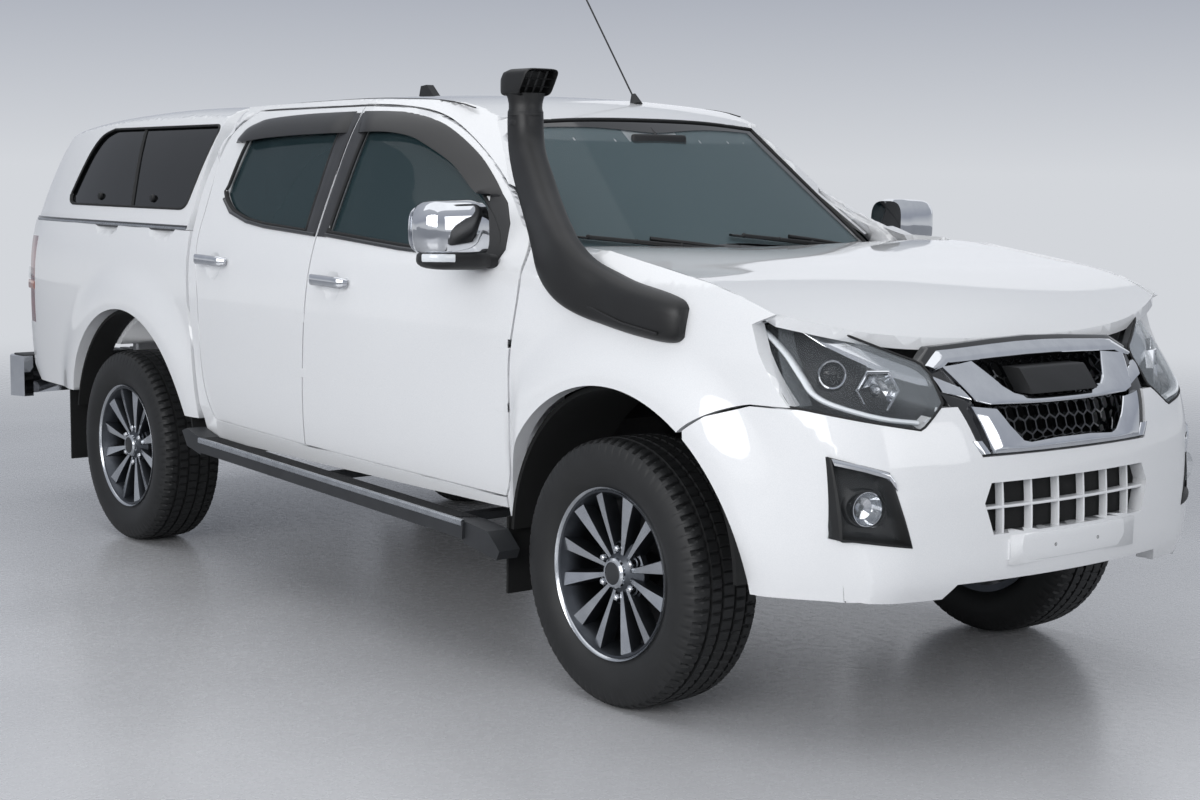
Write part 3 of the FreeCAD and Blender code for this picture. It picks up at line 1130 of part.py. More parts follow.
def make_knuckle(side):
    # Upright between the two ball joints, with the hub, disc and caliper.
    z = TYRE_RADIUS
    y = side * KINGPIN_Y
    bell = Part.makeSphere(CV_RADIUS, V(FRONT_AXLE_X, y, z))
    hub = rod((FRONT_AXLE_X, y, z), (FRONT_AXLE_X, side * (HUB_FACE_Y - FIT), z), 46)
    low = BALL_LOW_Z + BALL_RADIUS + FIT
    top = BALL_TOP_Z - BALL_RADIUS - FIT
    post = Part.makeCylinder(15, top - low, V(FRONT_AXLE_X, y, low))
    disc = rod((FRONT_AXLE_X, y + side * 26, z), (FRONT_AXLE_X, y + side * 50, z), 158)
    grip = sorted((y + side * 8, y + side * 66))
    caliper = box(FRONT_AXLE_X - 170, FRONT_AXLE_X - 96, grip[0], grip[1], z - 40, z + 84)
    return fused([bell, hub, disc, caliper, post])


def make_tyre(x, side):
    half = TYRE_WIDTH / 2.0
    r = TYRE_RADIUS
    bead = RIM_WIDTH / 2.0 - 10 - FIT
    shoulder = [(BEAD_RADIUS + 4, -bead), (RIM_RADIUS + 1, -bead), (RIM_RADIUS + 3, -bead - 6), (BEAD_RADIUS + 56, -half + 2), (r - 70, -half), (r - 28, -half + 10), (r - 6, -half + 26), (r, -half + 44)]
    outer = shoulder + [(p[0], -p[1]) for p in reversed(shoulder)]
    inner = [(BEAD_RADIUS + 4, half - 34), (r - 22, half - 44), (r - 22, -half + 44), (BEAD_RADIUS + 4, -half + 34)]
    return revolve_y(outer + inner, x, side * WHEEL_Y, TYRE_RADIUS)


def make_rim(x, side):
    half = RIM_WIDTH / 2.0
    r = RIM_RADIUS
    bead = BEAD_RADIUS + 4 - FIT
    barrel = revolve_y([(bead, -half + 10), (r, -half + 10), (r, -half), (bead - 16, -half), (bead - 22, 0), (bead - 14, half),
                        (r, half), (r, half - 10), (bead, half - 10)], x, side * WHEEL_Y, TYRE_RADIUS)
    face = WHEEL_Y + 78
    centre = V(x, side * face, TYRE_RADIUS)
    hub = Part.makeCylinder(HUB_RADIUS, 42, V(x, side * (face - 42), TYRE_RADIUS), V(0, side, 0))
    spokes = []
    for i in range(12):
        angle = math.radians(60 * (i // 2) + (13 if i % 2 else -13))
        reach = V(math.cos(angle), 0, math.sin(angle))
        across = V(-math.sin(angle), 0, math.cos(angle))
        tip = centre + reach * (bead - 12)
        root = centre + reach * (HUB_RADIUS - 14)
        spots = [root + across * 12, tip + across * 15, tip - across * 15, root - across * 12]
        plate = Part.Face(Part.makePolygon(spots + [spots[0]]))
        spokes.append(plate.extrude(V(0, -side * 32, 0)))
    return fused([barrel, hub] + spokes)


def build_all():
    keep("chassis_frame", make_chassis())
    keep("engine_gearbox", make_engine())
    keep("exhaust", make_exhaust())
    keep("fuel_tank", make_fuel_tank())
    keep("drive_shafts", make_drive_shafts())
    keep("rear_axle", make_rear_axle())
    keep("suspension", make_suspension())
    keep("cab_floor", make_cab_floor())
    side = make_cab_side_left()
    keep("cab_side_left", side)
    keep("cab_side_right", mirrored(side))
    keep("cab_roof", make_roof())
    keep("cab_back", make_cab_back())
    keep("cab_glass", make_cab_glass())
    fender = make_fender()
    keep("fender_left", fender)
    keep("fender_right", mirrored(fender))
    keep("front_bumper", make_front_bumper())
    keep("grille", make_grille())
    keep("front_lamps", make_lamps())
    keep("radiator_panel", make_radiator_panel())
    keep("bonnet", make_bonnet())
    keep("cowl_and_wipers", make_cowl())
    tub = make_tub_side().cut(lamp_zone(0))
    keep("tub_side_left", tub)
    keep("tub_side_right", mirrored(tub))
    keep("tub_floor", make_tub_floor())
    keep("tailgate", make_tailgate())
    keep("canopy_shell", make_canopy())
    keep("canopy_door", make_canopy_door())
    keep("canopy_glass", make_canopy_glass())
    keep("rear_bumper", make_rear_bumper())
    keep("tail_lamps", make_tail_lamps())
    keep("side_steps", make_side_steps())
    keep("snorkel", make_snorkel())
    keep("arch_liners", make_arch_liners())
    keep("aerials", make_aerials())
    keep("front_seats", make_front_seats())
    keep("rear_bench", make_rear_bench())
    keep("dashboard", make_dashboard())
    keep("steering_wheel", make_steering_wheel())
    for name, points, window, hinge, handle in (("front", FRONT_DOOR, FRONT_WINDOW, FRONT_HINGE, FRONT_HANDLE),
                                                ("rear", REAR_DOOR, REAR_WINDOW, REAR_HINGE, REAR_HANDLE)):
        door = make_door(points, window, hinge, handle)
        glass = make_glass(window)
        keep("door_%s_left" % name, door)
        keep("door_%s_right" % name, mirrored(door))
        keep("door_glass_%s_left" % name, glass)
        keep("door_glass_%s_right" % name, mirrored(glass))
    mirror = make_mirror()
    keep("mirror_left", mirror)
    keep("mirror_right", mirrored(mirror))
    keep("knuckle_left", make_knuckle(1))
    keep("knuckle_right", make_knuckle(-1))
    for end, x in (("front", FRONT_AXLE_X), ("rear", REAR_AXLE_X)):
        for hand, side in (("left", 1), ("right", -1)):
            keep("tyre_%s_%s" % (end, hand), make_tyre(x, side))
            keep("rim_%s_%s" % (end, hand), make_rim(x, side))


build_all()
os.makedirs("parts", exist_ok=True)
for name, shape in NODES.items():
    shape.exportStep("parts/%s.step" % name)
    size = shape.optimalBoundingBox(True, False)
    print(name, len(shape.Solids), shape.isValid(), "%.2f litres" % (shape.Volume / 1e6),
          "x %.0f %.0f y %.0f %.0f z %.0f %.0f" % (size.XMin, size.XMax, size.YMin, size.YMax, size.ZMin, size.ZMax))
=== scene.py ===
import math

import bmesh
import bpy
from mathutils import Matrix, Vector


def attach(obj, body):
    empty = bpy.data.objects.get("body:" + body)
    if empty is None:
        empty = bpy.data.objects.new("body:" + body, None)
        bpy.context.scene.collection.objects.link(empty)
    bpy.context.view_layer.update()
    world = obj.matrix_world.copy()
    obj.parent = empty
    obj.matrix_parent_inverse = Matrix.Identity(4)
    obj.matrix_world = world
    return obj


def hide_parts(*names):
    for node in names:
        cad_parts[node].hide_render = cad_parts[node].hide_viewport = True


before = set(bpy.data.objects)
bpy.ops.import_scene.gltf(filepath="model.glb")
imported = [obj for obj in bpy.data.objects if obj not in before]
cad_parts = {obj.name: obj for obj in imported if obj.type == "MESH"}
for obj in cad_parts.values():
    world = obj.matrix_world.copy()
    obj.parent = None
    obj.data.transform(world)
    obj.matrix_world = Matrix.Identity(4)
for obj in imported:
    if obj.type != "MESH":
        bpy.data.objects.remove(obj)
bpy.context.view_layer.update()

bl_info = {
    "name": "Lifted pickup",
    "version": (1, 0, 0),
    "blender": (4, 5, 0),
    "location": "View3D > Sidebar > Pickup",
    "description": "Dresses the packed solids of a lifted double-cab pickup with canopy and snorkel",
    "category": "Object",
}

MM = 0.001
SIDES = {"left": 1, "right": -1}
ENDS = ("front", "rear")


# Section tables of the body, the same as the solids have.
SIDE_PROFILE = ((400, -63), (480, -43), (560, -27), (680, -12), (820, -3), (950, 0), (1060, -4),
                (1150, -15), (1240, -37), (1340, -73), (1450, -116), (1560, -161), (1650, -205), (1720, -250))
PLAN_TAPER = ((-2420, 60), (-2300, 34), (-2100, 15), (-1700, 6), (-1352, 3), (-800, 3), (200, 0),
              (1000, 6), (1300, 13), (1742, 25), (2000, 38), (2200, 62), (2350, 100), (2450, 150))
ROOF_LINE = ((-900, -14), (-300, 0), (200, 0), (600, -30), (800, -92), (1200, -250))
BONNET_MIDDLE = ((1250, 1266), (1600, 1264), (1900, 1240), (2150, 1200), (2300, 1156), (2390, 1108),
                 (2440, 1060))
BONNET_EDGE = ((1250, 1284), (1600, 1274), (1900, 1232), (2050, 1212), (2200, 1174), (2320, 1124),
               (2440, 1040))
NOSE_PROFILE = ((380, -40), (450, -8), (560, 0), (700, -8), (800, -22), (905, -60), (1100, -215))
BODY_HALF_WIDTH = 905.0
ROOF_TOP = 1762.0
NOSE_X = 2647.5
SCREEN_FOOT = (1330.0, 1236.0)
SCREEN_SLOPE = 518.0 / 432.0
# Each wheel arch: the middle of its edge in x and z, its radius, and how far the body flares out round it.
ARCHES = ((1735.0, 410.0, 500.0, 42.0), (-1322.0, 395.0, 538.0, 30.0))
FLARE_SPREAD = 180.0
FRONT_AXLE_X = 1742.5
REAR_AXLE_X = -1352.5
WHEEL_Y = 785.0
AXLE_Z = 381.5


def blend(table, t):
    # Smooth curve through the rows of a table, straight beyond its ends.
    last = len(table) - 1
    gaps = [(table[i + 1][1] - table[i][1]) / (table[i + 1][0] - table[i][0]) for i in range(last)]
    if t <= table[0][0]:
        return table[0][1] + (t - table[0][0]) * gaps[0]
    if t >= table[last][0]:
        return table[last][1] + (t - table[last][0]) * gaps[-1]
    i = max(k for k in range(last) if table[k][0] <= t)
    slopes = [gaps[0]] + [(gaps[k - 1] + gaps[k]) / 2 for k in range(1, last)] + [gaps[-1]]
    span = table[i + 1][0] - table[i][0]
    s = (t - table[i][0]) / span
    start = table[i][1] * (2 * s ** 3 - 3 * s * s + 1) + slopes[i] * span * (s ** 3 - 2 * s * s + s)
    return start + table[i + 1][1] * (3 * s * s - 2 * s ** 3) + slopes[i + 1] * span * (s ** 3 - s * s)


def smooth(t):
    t = max(0.0, min(1.0, t))
    return t * t * (3 - 2 * t)


def flare(x, z):
    # How far the skin stands out round the wheel arches.
    bulge = 0.0
    for cx, cz, radius, height in ARCHES:
        away = math.hypot(x - cx, z - cz) - radius
        bulge = max(bulge, height * smooth(1 - (away - 20) / FLARE_SPREAD))
    return bulge * (smooth((x - 1225) / 130.0) if x > 500 else 1.0)


def side_y(x, z):
    # Half width of the body skin.
    y = BODY_HALF_WIDTH + blend(SIDE_PROFILE, z) - blend(PLAN_TAPER, x)
    if x > 100 and z > 1200:
        y -= 195 * min(1.15, (z - 1200) / 440.0) * min(1.0, (x - 100) / 900.0) ** 1.5
    return y + flare(x, z)


def roof_z(x, y):
    return ROOF_TOP + blend(ROOF_LINE, x) - 0.00007 * y * y


def wind_x(y, z):
    # The windscreen's face.
    return SCREEN_FOOT[0] - SCREEN_SLOPE * (z - SCREEN_FOOT[1]) - 0.00024 * y * y


def bonnet_z(x, y):
    share = smooth(abs(y) / 800.0)
    return blend(BONNET_MIDDLE, x) * (1 - share) + blend(BONNET_EDGE, x) * share


def front_x(y, z):
    # The nose from side to side.
    a = abs(y)
    return NOSE_X + blend(NOSE_PROFILE, z) - 0.00021 * a * a - 185 * smooth((a - 560) / 420.0) ** 1.3


def on_side(side, x, z, out=0.0):
    # A place on the body side, a little outside its skin.
    return (x, side * (side_y(x, z) + out), z)


def door_body(end, name):
    return "door_%s_%s_body" % (end, name)


def beside(side):
    # The same for (x, z) places, as ribbon() wants it.
    return lambda p, out: on_side(side, p[0], p[1], out)


def curve_through(points, count):
    # Evenly numbered places on a smooth curve through the points.
    result = []
    last = len(points) - 1
    for i in range(count + 1):
        t = i * last / count
        k = min(int(t), last - 1)
        f = t - k
        p = [points[max(0, min(last, k + j))] for j in (-1, 0, 1, 2)]
        result.append(tuple(0.5 * (
            2 * b + (c - a) * f + (2 * a - 5 * b + 4 * c - d) * f * f + (3 * b - a - 3 * c + d) * f ** 3)
            for a, b, c, d in zip(*p)))
    return result


# Mesh helpers
def linked(name, data):
    # An object in the scene that holds the data.
    piece = bpy.data.objects.new(name, data)
    bpy.context.scene.collection.objects.link(piece)
    return piece


def new_piece(name, points, faces, sharp=35):
    # A mesh object from points in millimetres, with its faces turned outwards and soft shading.
    mesh = bpy.data.meshes.new(name)
    mesh.from_pydata([Vector(p) * MM for p in points], [], faces)
    tidy = bmesh.new()
    tidy.from_mesh(mesh)
    bmesh.ops.remove_doubles(tidy, verts=tidy.verts, dist=0.00002)
    bmesh.ops.dissolve_degenerate(tidy, dist=0.00001, edges=tidy.edges)
    bmesh.ops.recalc_face_normals(tidy, faces=tidy.faces)
    tidy.to_mesh(mesh)
    tidy.free()
    soften(mesh, sharp)
    return linked(name, mesh)


def soften(mesh, sharp):
    mesh.polygons.foreach_set("use_smooth", [True] * len(mesh.polygons))
    mesh.set_sharp_from_angle(angle=math.radians(sharp))


def grid_faces(rows, columns, wrap_rows=False, wrap_columns=False):
    faces = []
    for i in range(rows if wrap_rows else rows - 1):
        for j in range(columns if wrap_columns else columns - 1):
            a, b = i * columns + j, i * columns + (j + 1) % columns
            c, d = ((i + 1) % rows) * columns + (j + 1) % columns, ((i + 1) % rows) * columns + j
            faces.append((a, b, c, d))
    return faces


def skinned(name, rows, wrap_rows=False, wrap_columns=False, sharp=35, capped=False):
    # A mesh over rows of places, its first and last row filled where capped.
    total, width = len(rows), len(rows[0])
    faces = grid_faces(total, width, wrap_rows, wrap_columns)
    if capped:
        faces += [tuple(range(width)), tuple(range((total - 1) * width, total * width))]
    return new_piece(name, [p for row in rows for p in row], faces, sharp)


def sweep(name, path, profile, up=(0, 0, 1), closed=False, sharp=40, turn=None, scale=None):
    # A profile of (across, up) places carried along a path; its ends are capped.
    spots = [Vector(p) for p in path]
    total = len(spots)
    rows = []
    for i, spot in enumerate(spots):
        before = spots[(i - 1) % total] if closed or i > 0 else spot
        after = spots[(i + 1) % total] if closed or i < total - 1 else spot
        along = (after - before).normalized()
        lift = Vector(turn[i]) if turn else Vector(up)
        across = along.cross(lift).normalized()
        lift = across.cross(along).normalized()
        size = scale[i] if scale else (1.0, 1.0)
        rows.append([spot + across * a * size[0] + lift * b * size[1] for a, b in profile])
    return skinned(name, rows, closed, True, sharp, not closed)


def ring_profile(wide, high, count=12, power=1.0):
    # Points round an oval; a power under one squares it off.
    result = []
    for i in range(count):
        c, s = math.cos(2 * math.pi * i / count), math.sin(2 * math.pi * i / count)
        result.append((wide * math.copysign(abs(c) ** power, c), high * math.copysign(abs(s) ** power, s)))
    return result


def lathe(name, profile, centre, count=64, axis="Y", sharp=35, closed=True):
    # A profile of (radius, along the axis) turned about an axis through the centre.
    points = []
    for i in range(count):
        angle = 2 * math.pi * i / count
        for radius, along in profile:
            a, b = radius * math.cos(angle), radius * math.sin(angle)
            place = {"Y": (a, along, b), "X": (along, a, b), "Z": (a, b, along)}[axis]
            points.append(tuple(c + p for c, p in zip(centre, place)))
    return new_piece(name, points, grid_faces(count, len(profile), True, closed), sharp)


def joined(name, pieces):
    # Several pieces made one, in place.
    tidy = bmesh.new()
    for piece in pieces:
        tidy.from_mesh(piece.data)
    mesh = bpy.data.meshes.new(name)
    tidy.to_mesh(mesh)
    tidy.free()
    for piece in pieces:
        bpy.data.objects.remove(piece)
    return linked(name, mesh)


def settled(piece, sharp=35):
    # The piece with its modifiers applied.
    graph = bpy.context.evaluated_depsgraph_get()
    mesh = bpy.data.meshes.new_from_object(piece.evaluated_get(graph))
    piece.modifiers.clear()
    piece.data = mesh
    soften(mesh, sharp)
    return piece


def rounded(piece, width, segments=2, angle=40):
    # A small radius along the sharp edges.
    bevel = piece.modifiers.new("edges", "BEVEL")
    bevel.width = width * MM
    bevel.segments = segments
    bevel.limit_method = "ANGLE"
    bevel.angle_limit = math.radians(angle)
    return settled(piece, 40)


def block(name, x0, x1, y0, y1, z0, z1, edge=3.0):
    # A rounded moulding between two corners.
    xs, ys, zs = sorted((x0, x1)), sorted((y0, y1)), sorted((z0, z1))
    points = [(x, y, z) for x in xs for y in ys for z in zs]
    faces = [(0, 1, 3, 2), (4, 6, 7, 5), (0, 4, 5, 1), (2, 3, 7, 6), (0, 2, 6, 4), (1, 5, 7, 3)]
    return rounded(new_piece(name, points, faces), edge, 3)


def prism(name, outline, depth, along, edge=1.5):
    # A flat outline of places thickened along a direction.
    shift = len(outline)
    push = Vector(along).normalized() * depth
    points = [Vector(p) for p in outline] + [Vector(p) + push for p in outline]
    faces = [tuple(range(shift)), tuple(range(2 * shift - 1, shift - 1, -1))]
    faces += [(i, (i + 1) % shift, shift + (i + 1) % shift, shift + i) for i in range(shift)]
    piece = new_piece(name, points, faces)
    return rounded(piece, edge, 2) if edge else piece


def dress(piece, finish, body="vehicle", node=None):
    # The finish with its material slot, the moving body it rides on, and the node it stands for.
    piece.data.materials.clear()
    piece.data.materials.append(FINISHES[finish])
    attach(piece, body)
    if node:
        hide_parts(node)
    return piece


def welded(node, sharp=28):
    # The solid's own mesh with its loose triangles joined and shaded smoothly.
    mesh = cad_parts[node].data.copy()
    tidy = bmesh.new()
    tidy.from_mesh(mesh)
    bmesh.ops.remove_doubles(tidy, verts=tidy.verts, dist=0.00001)
    tidy.to_mesh(mesh)
    tidy.free()
    soften(mesh, sharp)
    mesh.name = node + "_panel"
    return linked(node + "_panel", mesh)


# Body skins as signed distances outwards: how near a face has to lie to belong to one, the longest edge that
# stays whole, how the nose's corner is rounded, and the canopy's section tables.
SKIN_REACH = 7.0
CORNER_REACH = 46.0
SKIN_GRAIN = 75.0
CORNER_ROUND = 8.0
CORNER_SPREAD = 30.0
CANOPY_HALF_WIDTH = 852
CANOPY_LEAN = ((1276, 0), (1400, -42), (1550, -98), (1640, -140), (1700, -180))
CANOPY_TAPER = ((-2400, -58), (-2200, -30), (-1900, -8), (-1400, 0), (-868, 0))


def corner_gap(x, y, z):
    # The nose and the flank in one, rounded where they meet.
    a, b = front_x(y, z) - x, side_y(x, z) - abs(y)
    return CORNER_ROUND * math.exp(-abs(a - b) / CORNER_SPREAD) - min(a, b)


def canopy_half(x, z):
    return CANOPY_HALF_WIDTH + blend(CANOPY_LEAN, z) + blend(CANOPY_TAPER, x)


SKINS = {
    "side": lambda x, y, z: abs(y) - side_y(x, z),
    "roof": lambda x, y, z: z - roof_z(x, y),
    "bonnet": lambda x, y, z: z - bonnet_z(x, y),
    "corner": corner_gap,
    "canopy": lambda x, y, z: abs(y) - canopy_half(x, z),
}


def slope_of(skin, p):
    # Distance from a skin and its outward direction at a place.
    x, y, z = p
    level = skin(x, y, z)
    way = Vector((skin(x + 1, y, z) - level, skin(x, y + 1, z) - level, skin(x, y, z + 1) - level))
    size = max(way.length, 1e-6)
    return level / size, way / size


def panel(node, body, skins):
    # The solid's mesh, refined on its outer skins, laid on them exactly and shaded by their true slopes.
    piece = welded(node)
    mesh = bmesh.new()
    mesh.from_mesh(piece.data)
    tag = mesh.faces.layers.int.new("skin")
    for face in mesh.faces:
        for number, name in enumerate(skins):
            spots = [slope_of(SKINS[name], v.co / MM) for v in face.verts]
            wide = name == "corner" and abs(face.calc_center_median().y) > 0.6
            limit, facing = (CORNER_REACH, 0.35) if wide else (SKIN_REACH, 0.86)
            if all(abs(d) < limit and n.dot(face.normal) > facing for d, n in spots):
                face[tag] = number + 1
                break
    for _ in range(6):
        long = [e for e in mesh.edges
                if e.calc_length() > SKIN_GRAIN * MM and any(f[tag] for f in e.link_faces)]
        if not long:
            break
        bmesh.ops.subdivide_edges(mesh, edges=long, cuts=1)
        bmesh.ops.triangulate(mesh, faces=[f for f in mesh.faces if len(f.verts) > 3],
                              quad_method="SHORT_EDGE")
    for vertex in mesh.verts:
        tags = {f[tag] for f in vertex.link_faces if f[tag]}
        for number in tags:
            for _ in range(2):
                away, way = slope_of(SKINS[skins[number - 1]], vertex.co / MM)
                vertex.co -= way * away * MM
    mesh.to_mesh(piece.data)
    skin_of = [f[tag] for f in mesh.faces]
    mesh.free()
    data = piece.data
    soften(data, 28)
    normals = [tuple(n.vector) for n in data.corner_normals]
    cached = {}
    for face, number in zip(data.polygons, skin_of):
        if not number:
            continue
        for corner, index in zip(face.loop_indices, face.vertices):
            key = (number, index)
            if key not in cached:
                cached[key] = tuple(slope_of(SKINS[skins[number - 1]], data.vertices[index].co / MM)[1])
            normals[corner] = cached[key]
    data.normals_split_custom_set(normals)
    return dress(piece, "paint", body, node)


# Finishes
def linear(code):
    # sRGB hex to the linear values that shaders read.
    parts = [int(code[i:i + 2], 16) / 255 for i in (1, 3, 5)]
    return tuple(c / 12.92 if c <= 0.04045 else ((c + 0.055) / 1.055) ** 2.4 for c in parts) + (1.0,)


def add_node(tree, kind, values=None, links=None, **settings):
    made = tree.nodes.new(kind)
    for key, value in settings.items():
        setattr(made, key, value)
    for key, value in (values or {}).items():
        made.inputs[key].default_value = value
    for key, source in (links or {}).items():
        tree.links.new(source, made.inputs[key])
    return made


def new_finish(name, **values):
    finish = bpy.data.materials.new(name)
    finish.use_nodes = True
    tree = finish.node_tree
    shader = tree.nodes["Principled BSDF"]
    for key, value in values.items():
        shader.inputs[key.replace("_", " ")].default_value = value
    return finish, tree, shader


def speckled(tree, shader, light, dark, scale, detail=3.0, low=0.35, high=0.65):
    # Colour drifting between two shades in patches of 1 / scale metres.
    place = add_node(tree, "ShaderNodeTexCoord").outputs["Object"]
    cloud = add_node(tree, "ShaderNodeTexNoise", {"Scale": scale, "Detail": detail}, {"Vector": place})
    ramp = add_node(tree, "ShaderNodeValToRGB", links={"Fac": cloud.outputs["Fac"]})
    ramp.color_ramp.elements[0].position = low
    ramp.color_ramp.elements[1].position = high
    ramp.color_ramp.elements[0].color = linear(dark)
    ramp.color_ramp.elements[1].color = linear(light)
    tree.links.new(ramp.outputs["Color"], shader.inputs["Base Color"])
    return place


def grained(tree, shader, place, scale, strength, height, low, high, kind="ShaderNodeTexNoise"):
    # Fine relief, and roughness that follows it.
    values = {"Scale": scale, "Detail": 2.0} if kind == "ShaderNodeTexNoise" else {"Scale": scale}
    grain = add_node(tree, kind, values, {"Vector": place})
    out = grain.outputs["Fac"] if kind == "ShaderNodeTexNoise" else grain.outputs["Distance"]
    bump = add_node(tree, "ShaderNodeBump", {"Strength": strength, "Distance": height}, {"Height": out})
    tree.links.new(bump.outputs["Normal"], shader.inputs["Normal"])
    spread = add_node(tree, "ShaderNodeMapRange", {"To Min": low, "To Max": high}, {"Value": out})
    tree.links.new(spread.outputs["Result"], shader.inputs["Roughness"])


def pearl_white_car_paint():
    # Pearl base coat under clear lacquer, sprayed: a bright skin with a wet gloss and a faint orange peel of
    # about 4 mm, and mica clusters of about 1 mm that lift the colour a little.
    finish, tree, shader = new_finish("pearl_white_car_paint", Roughness=0.36, Coat_Weight=1.0,
                                      Coat_Roughness=0.025)
    place = speckled(tree, shader, "#E9EAEC", "#DDDFE2", 900.0, 0.0, 0.3, 0.7)
    peel = add_node(tree, "ShaderNodeTexNoise", {"Scale": 240.0, "Detail": 0.0}, {"Vector": place})
    bump = add_node(tree, "ShaderNodeBump", {"Strength": 0.03, "Distance": 0.0004},
                    {"Height": peel.outputs["Fac"]})
    tree.links.new(bump.outputs["Normal"], shader.inputs["Coat Normal"])
    film = add_node(tree, "ShaderNodeTexNoise", {"Scale": 3.0, "Detail": 4.0}, {"Vector": place})
    haze = add_node(tree, "ShaderNodeMapRange", {"To Min": 0.34, "To Max": 0.42},
                    {"Value": film.outputs["Fac"]})
    tree.links.new(haze.outputs["Result"], shader.inputs["Roughness"])
    return finish


def moulded(name, light, dark, low, high, scale=900.0, strength=0.25, **values):
    # Injection-moulded plastic or rubber: a spark-eroded texture with grain of 1 / scale metres that scatters
    # the highlight, and slight shade drift where the mould filled unevenly.
    finish, tree, shader = new_finish(name, **values)
    place = speckled(tree, shader, light, dark, 14.0, 5.0, 0.3, 0.7)
    grained(tree, shader, place, scale, strength, 0.0004, low, high)
    return finish


def bright_metal(name, light, dark, low, high, scale, strength, **values):
    # Metal, plated or machined: full metallic colour, with fine tool marks or plating ripple.
    finish, tree, shader = new_finish(name, Metallic=1.0, **values)
    place = speckled(tree, shader, light, dark, 20.0, 3.0, 0.3, 0.7)
    grained(tree, shader, place, scale, strength, 0.0002, low, high)
    return finish


def glazing(name, colour, thin, thick, roughness=0.01):
    # Toughened glass or clear acrylic: see-through face on, mirror-like at a grazing look, with a dust film.
    finish, tree, shader = new_finish(name, Base_Color=linear(colour), Roughness=roughness, IOR=1.5)
    edge = add_node(tree, "ShaderNodeFresnel", {"IOR": 1.5})
    veil = add_node(tree, "ShaderNodeMapRange",
                    {"From Min": 0.04, "From Max": 0.6, "To Min": thin, "To Max": thick},
                    {"Value": edge.outputs["Fac"]})
    tree.links.new(veil.outputs["Result"], shader.inputs["Alpha"])
    place = add_node(tree, "ShaderNodeTexCoord").outputs["Object"]
    film = add_node(tree, "ShaderNodeTexNoise", {"Scale": 6.0, "Detail": 6.0}, {"Vector": place})
    haze = add_node(tree, "ShaderNodeMapRange", {"To Min": roughness, "To Max": roughness + 0.04},
                    {"Value": film.outputs["Fac"]})
    tree.links.new(haze.outputs["Result"], shader.inputs["Roughness"])
    return finish


def woven_cloth(name, light, dark):
    # Woven polyester seat cloth: matt, with 1.4 mm threads, drawn a little coarse to show, and a soft sheen.
    finish, tree, shader = new_finish(name, Roughness=0.9, Sheen_Weight=0.25, Sheen_Roughness=0.5)
    place = speckled(tree, shader, light, dark, 60.0, 4.0)
    warp = add_node(tree, "ShaderNodeTexWave", {"Scale": 110.0}, {"Vector": place}, bands_direction="Y")
    weft = add_node(tree, "ShaderNodeTexWave", {"Scale": 110.0}, {"Vector": place}, bands_direction="Z")
    cross = add_node(tree, "ShaderNodeMath", links={0: warp.outputs["Fac"], 1: weft.outputs["Fac"]},
                     operation="MAXIMUM")
    bump = add_node(tree, "ShaderNodeBump", {"Strength": 0.5, "Distance": 0.0006},
                    {"Height": cross.outputs["Value"]})
    tree.links.new(bump.outputs["Normal"], shader.inputs["Normal"])
    return finish


def polished_concrete():
    # Power-floated pale concrete, sealed: cloudy greys over a soft reflection. Far off it fades into the
    # walls' tone for the camera alone, so the floor ends in no line.
    finish, tree, shader = new_finish("polished_pale_concrete", Roughness=0.2)
    place = speckled(tree, shader, "#C4C5C8", "#B7B8BB", 0.9, 8.0, 0.3, 0.7)
    grained(tree, shader, place, 30.0, 0.02, 0.0002, 0.2, 0.34)
    away = add_node(tree, "ShaderNodeVectorMath", links={0: place}, operation="LENGTH")
    share = add_node(tree, "ShaderNodeMapRange",
                     {"From Min": 3.5, "From Max": 11.0, "To Min": 0.0, "To Max": 1.0},
                     {"Value": away.outputs["Value"]}, interpolation_type="SMOOTHSTEP")
    path = add_node(tree, "ShaderNodeLightPath")
    seen = add_node(tree, "ShaderNodeMath",
                    links={0: share.outputs["Result"], 1: path.outputs["Is Camera Ray"]},
                    operation="MULTIPLY")
    haze = add_node(tree, "ShaderNodeEmission", {"Color": linear(HORIZON), "Strength": 1.0})
    mix = add_node(tree, "ShaderNodeMixShader",
                   links={"Fac": seen.outputs[0], 1: shader.outputs[0], 2: haze.outputs[0]})
    out = next(node for node in tree.nodes if node.type == "OUTPUT_MATERIAL")
    tree.links.new(mix.outputs[0], out.inputs["Surface"])
    return finish


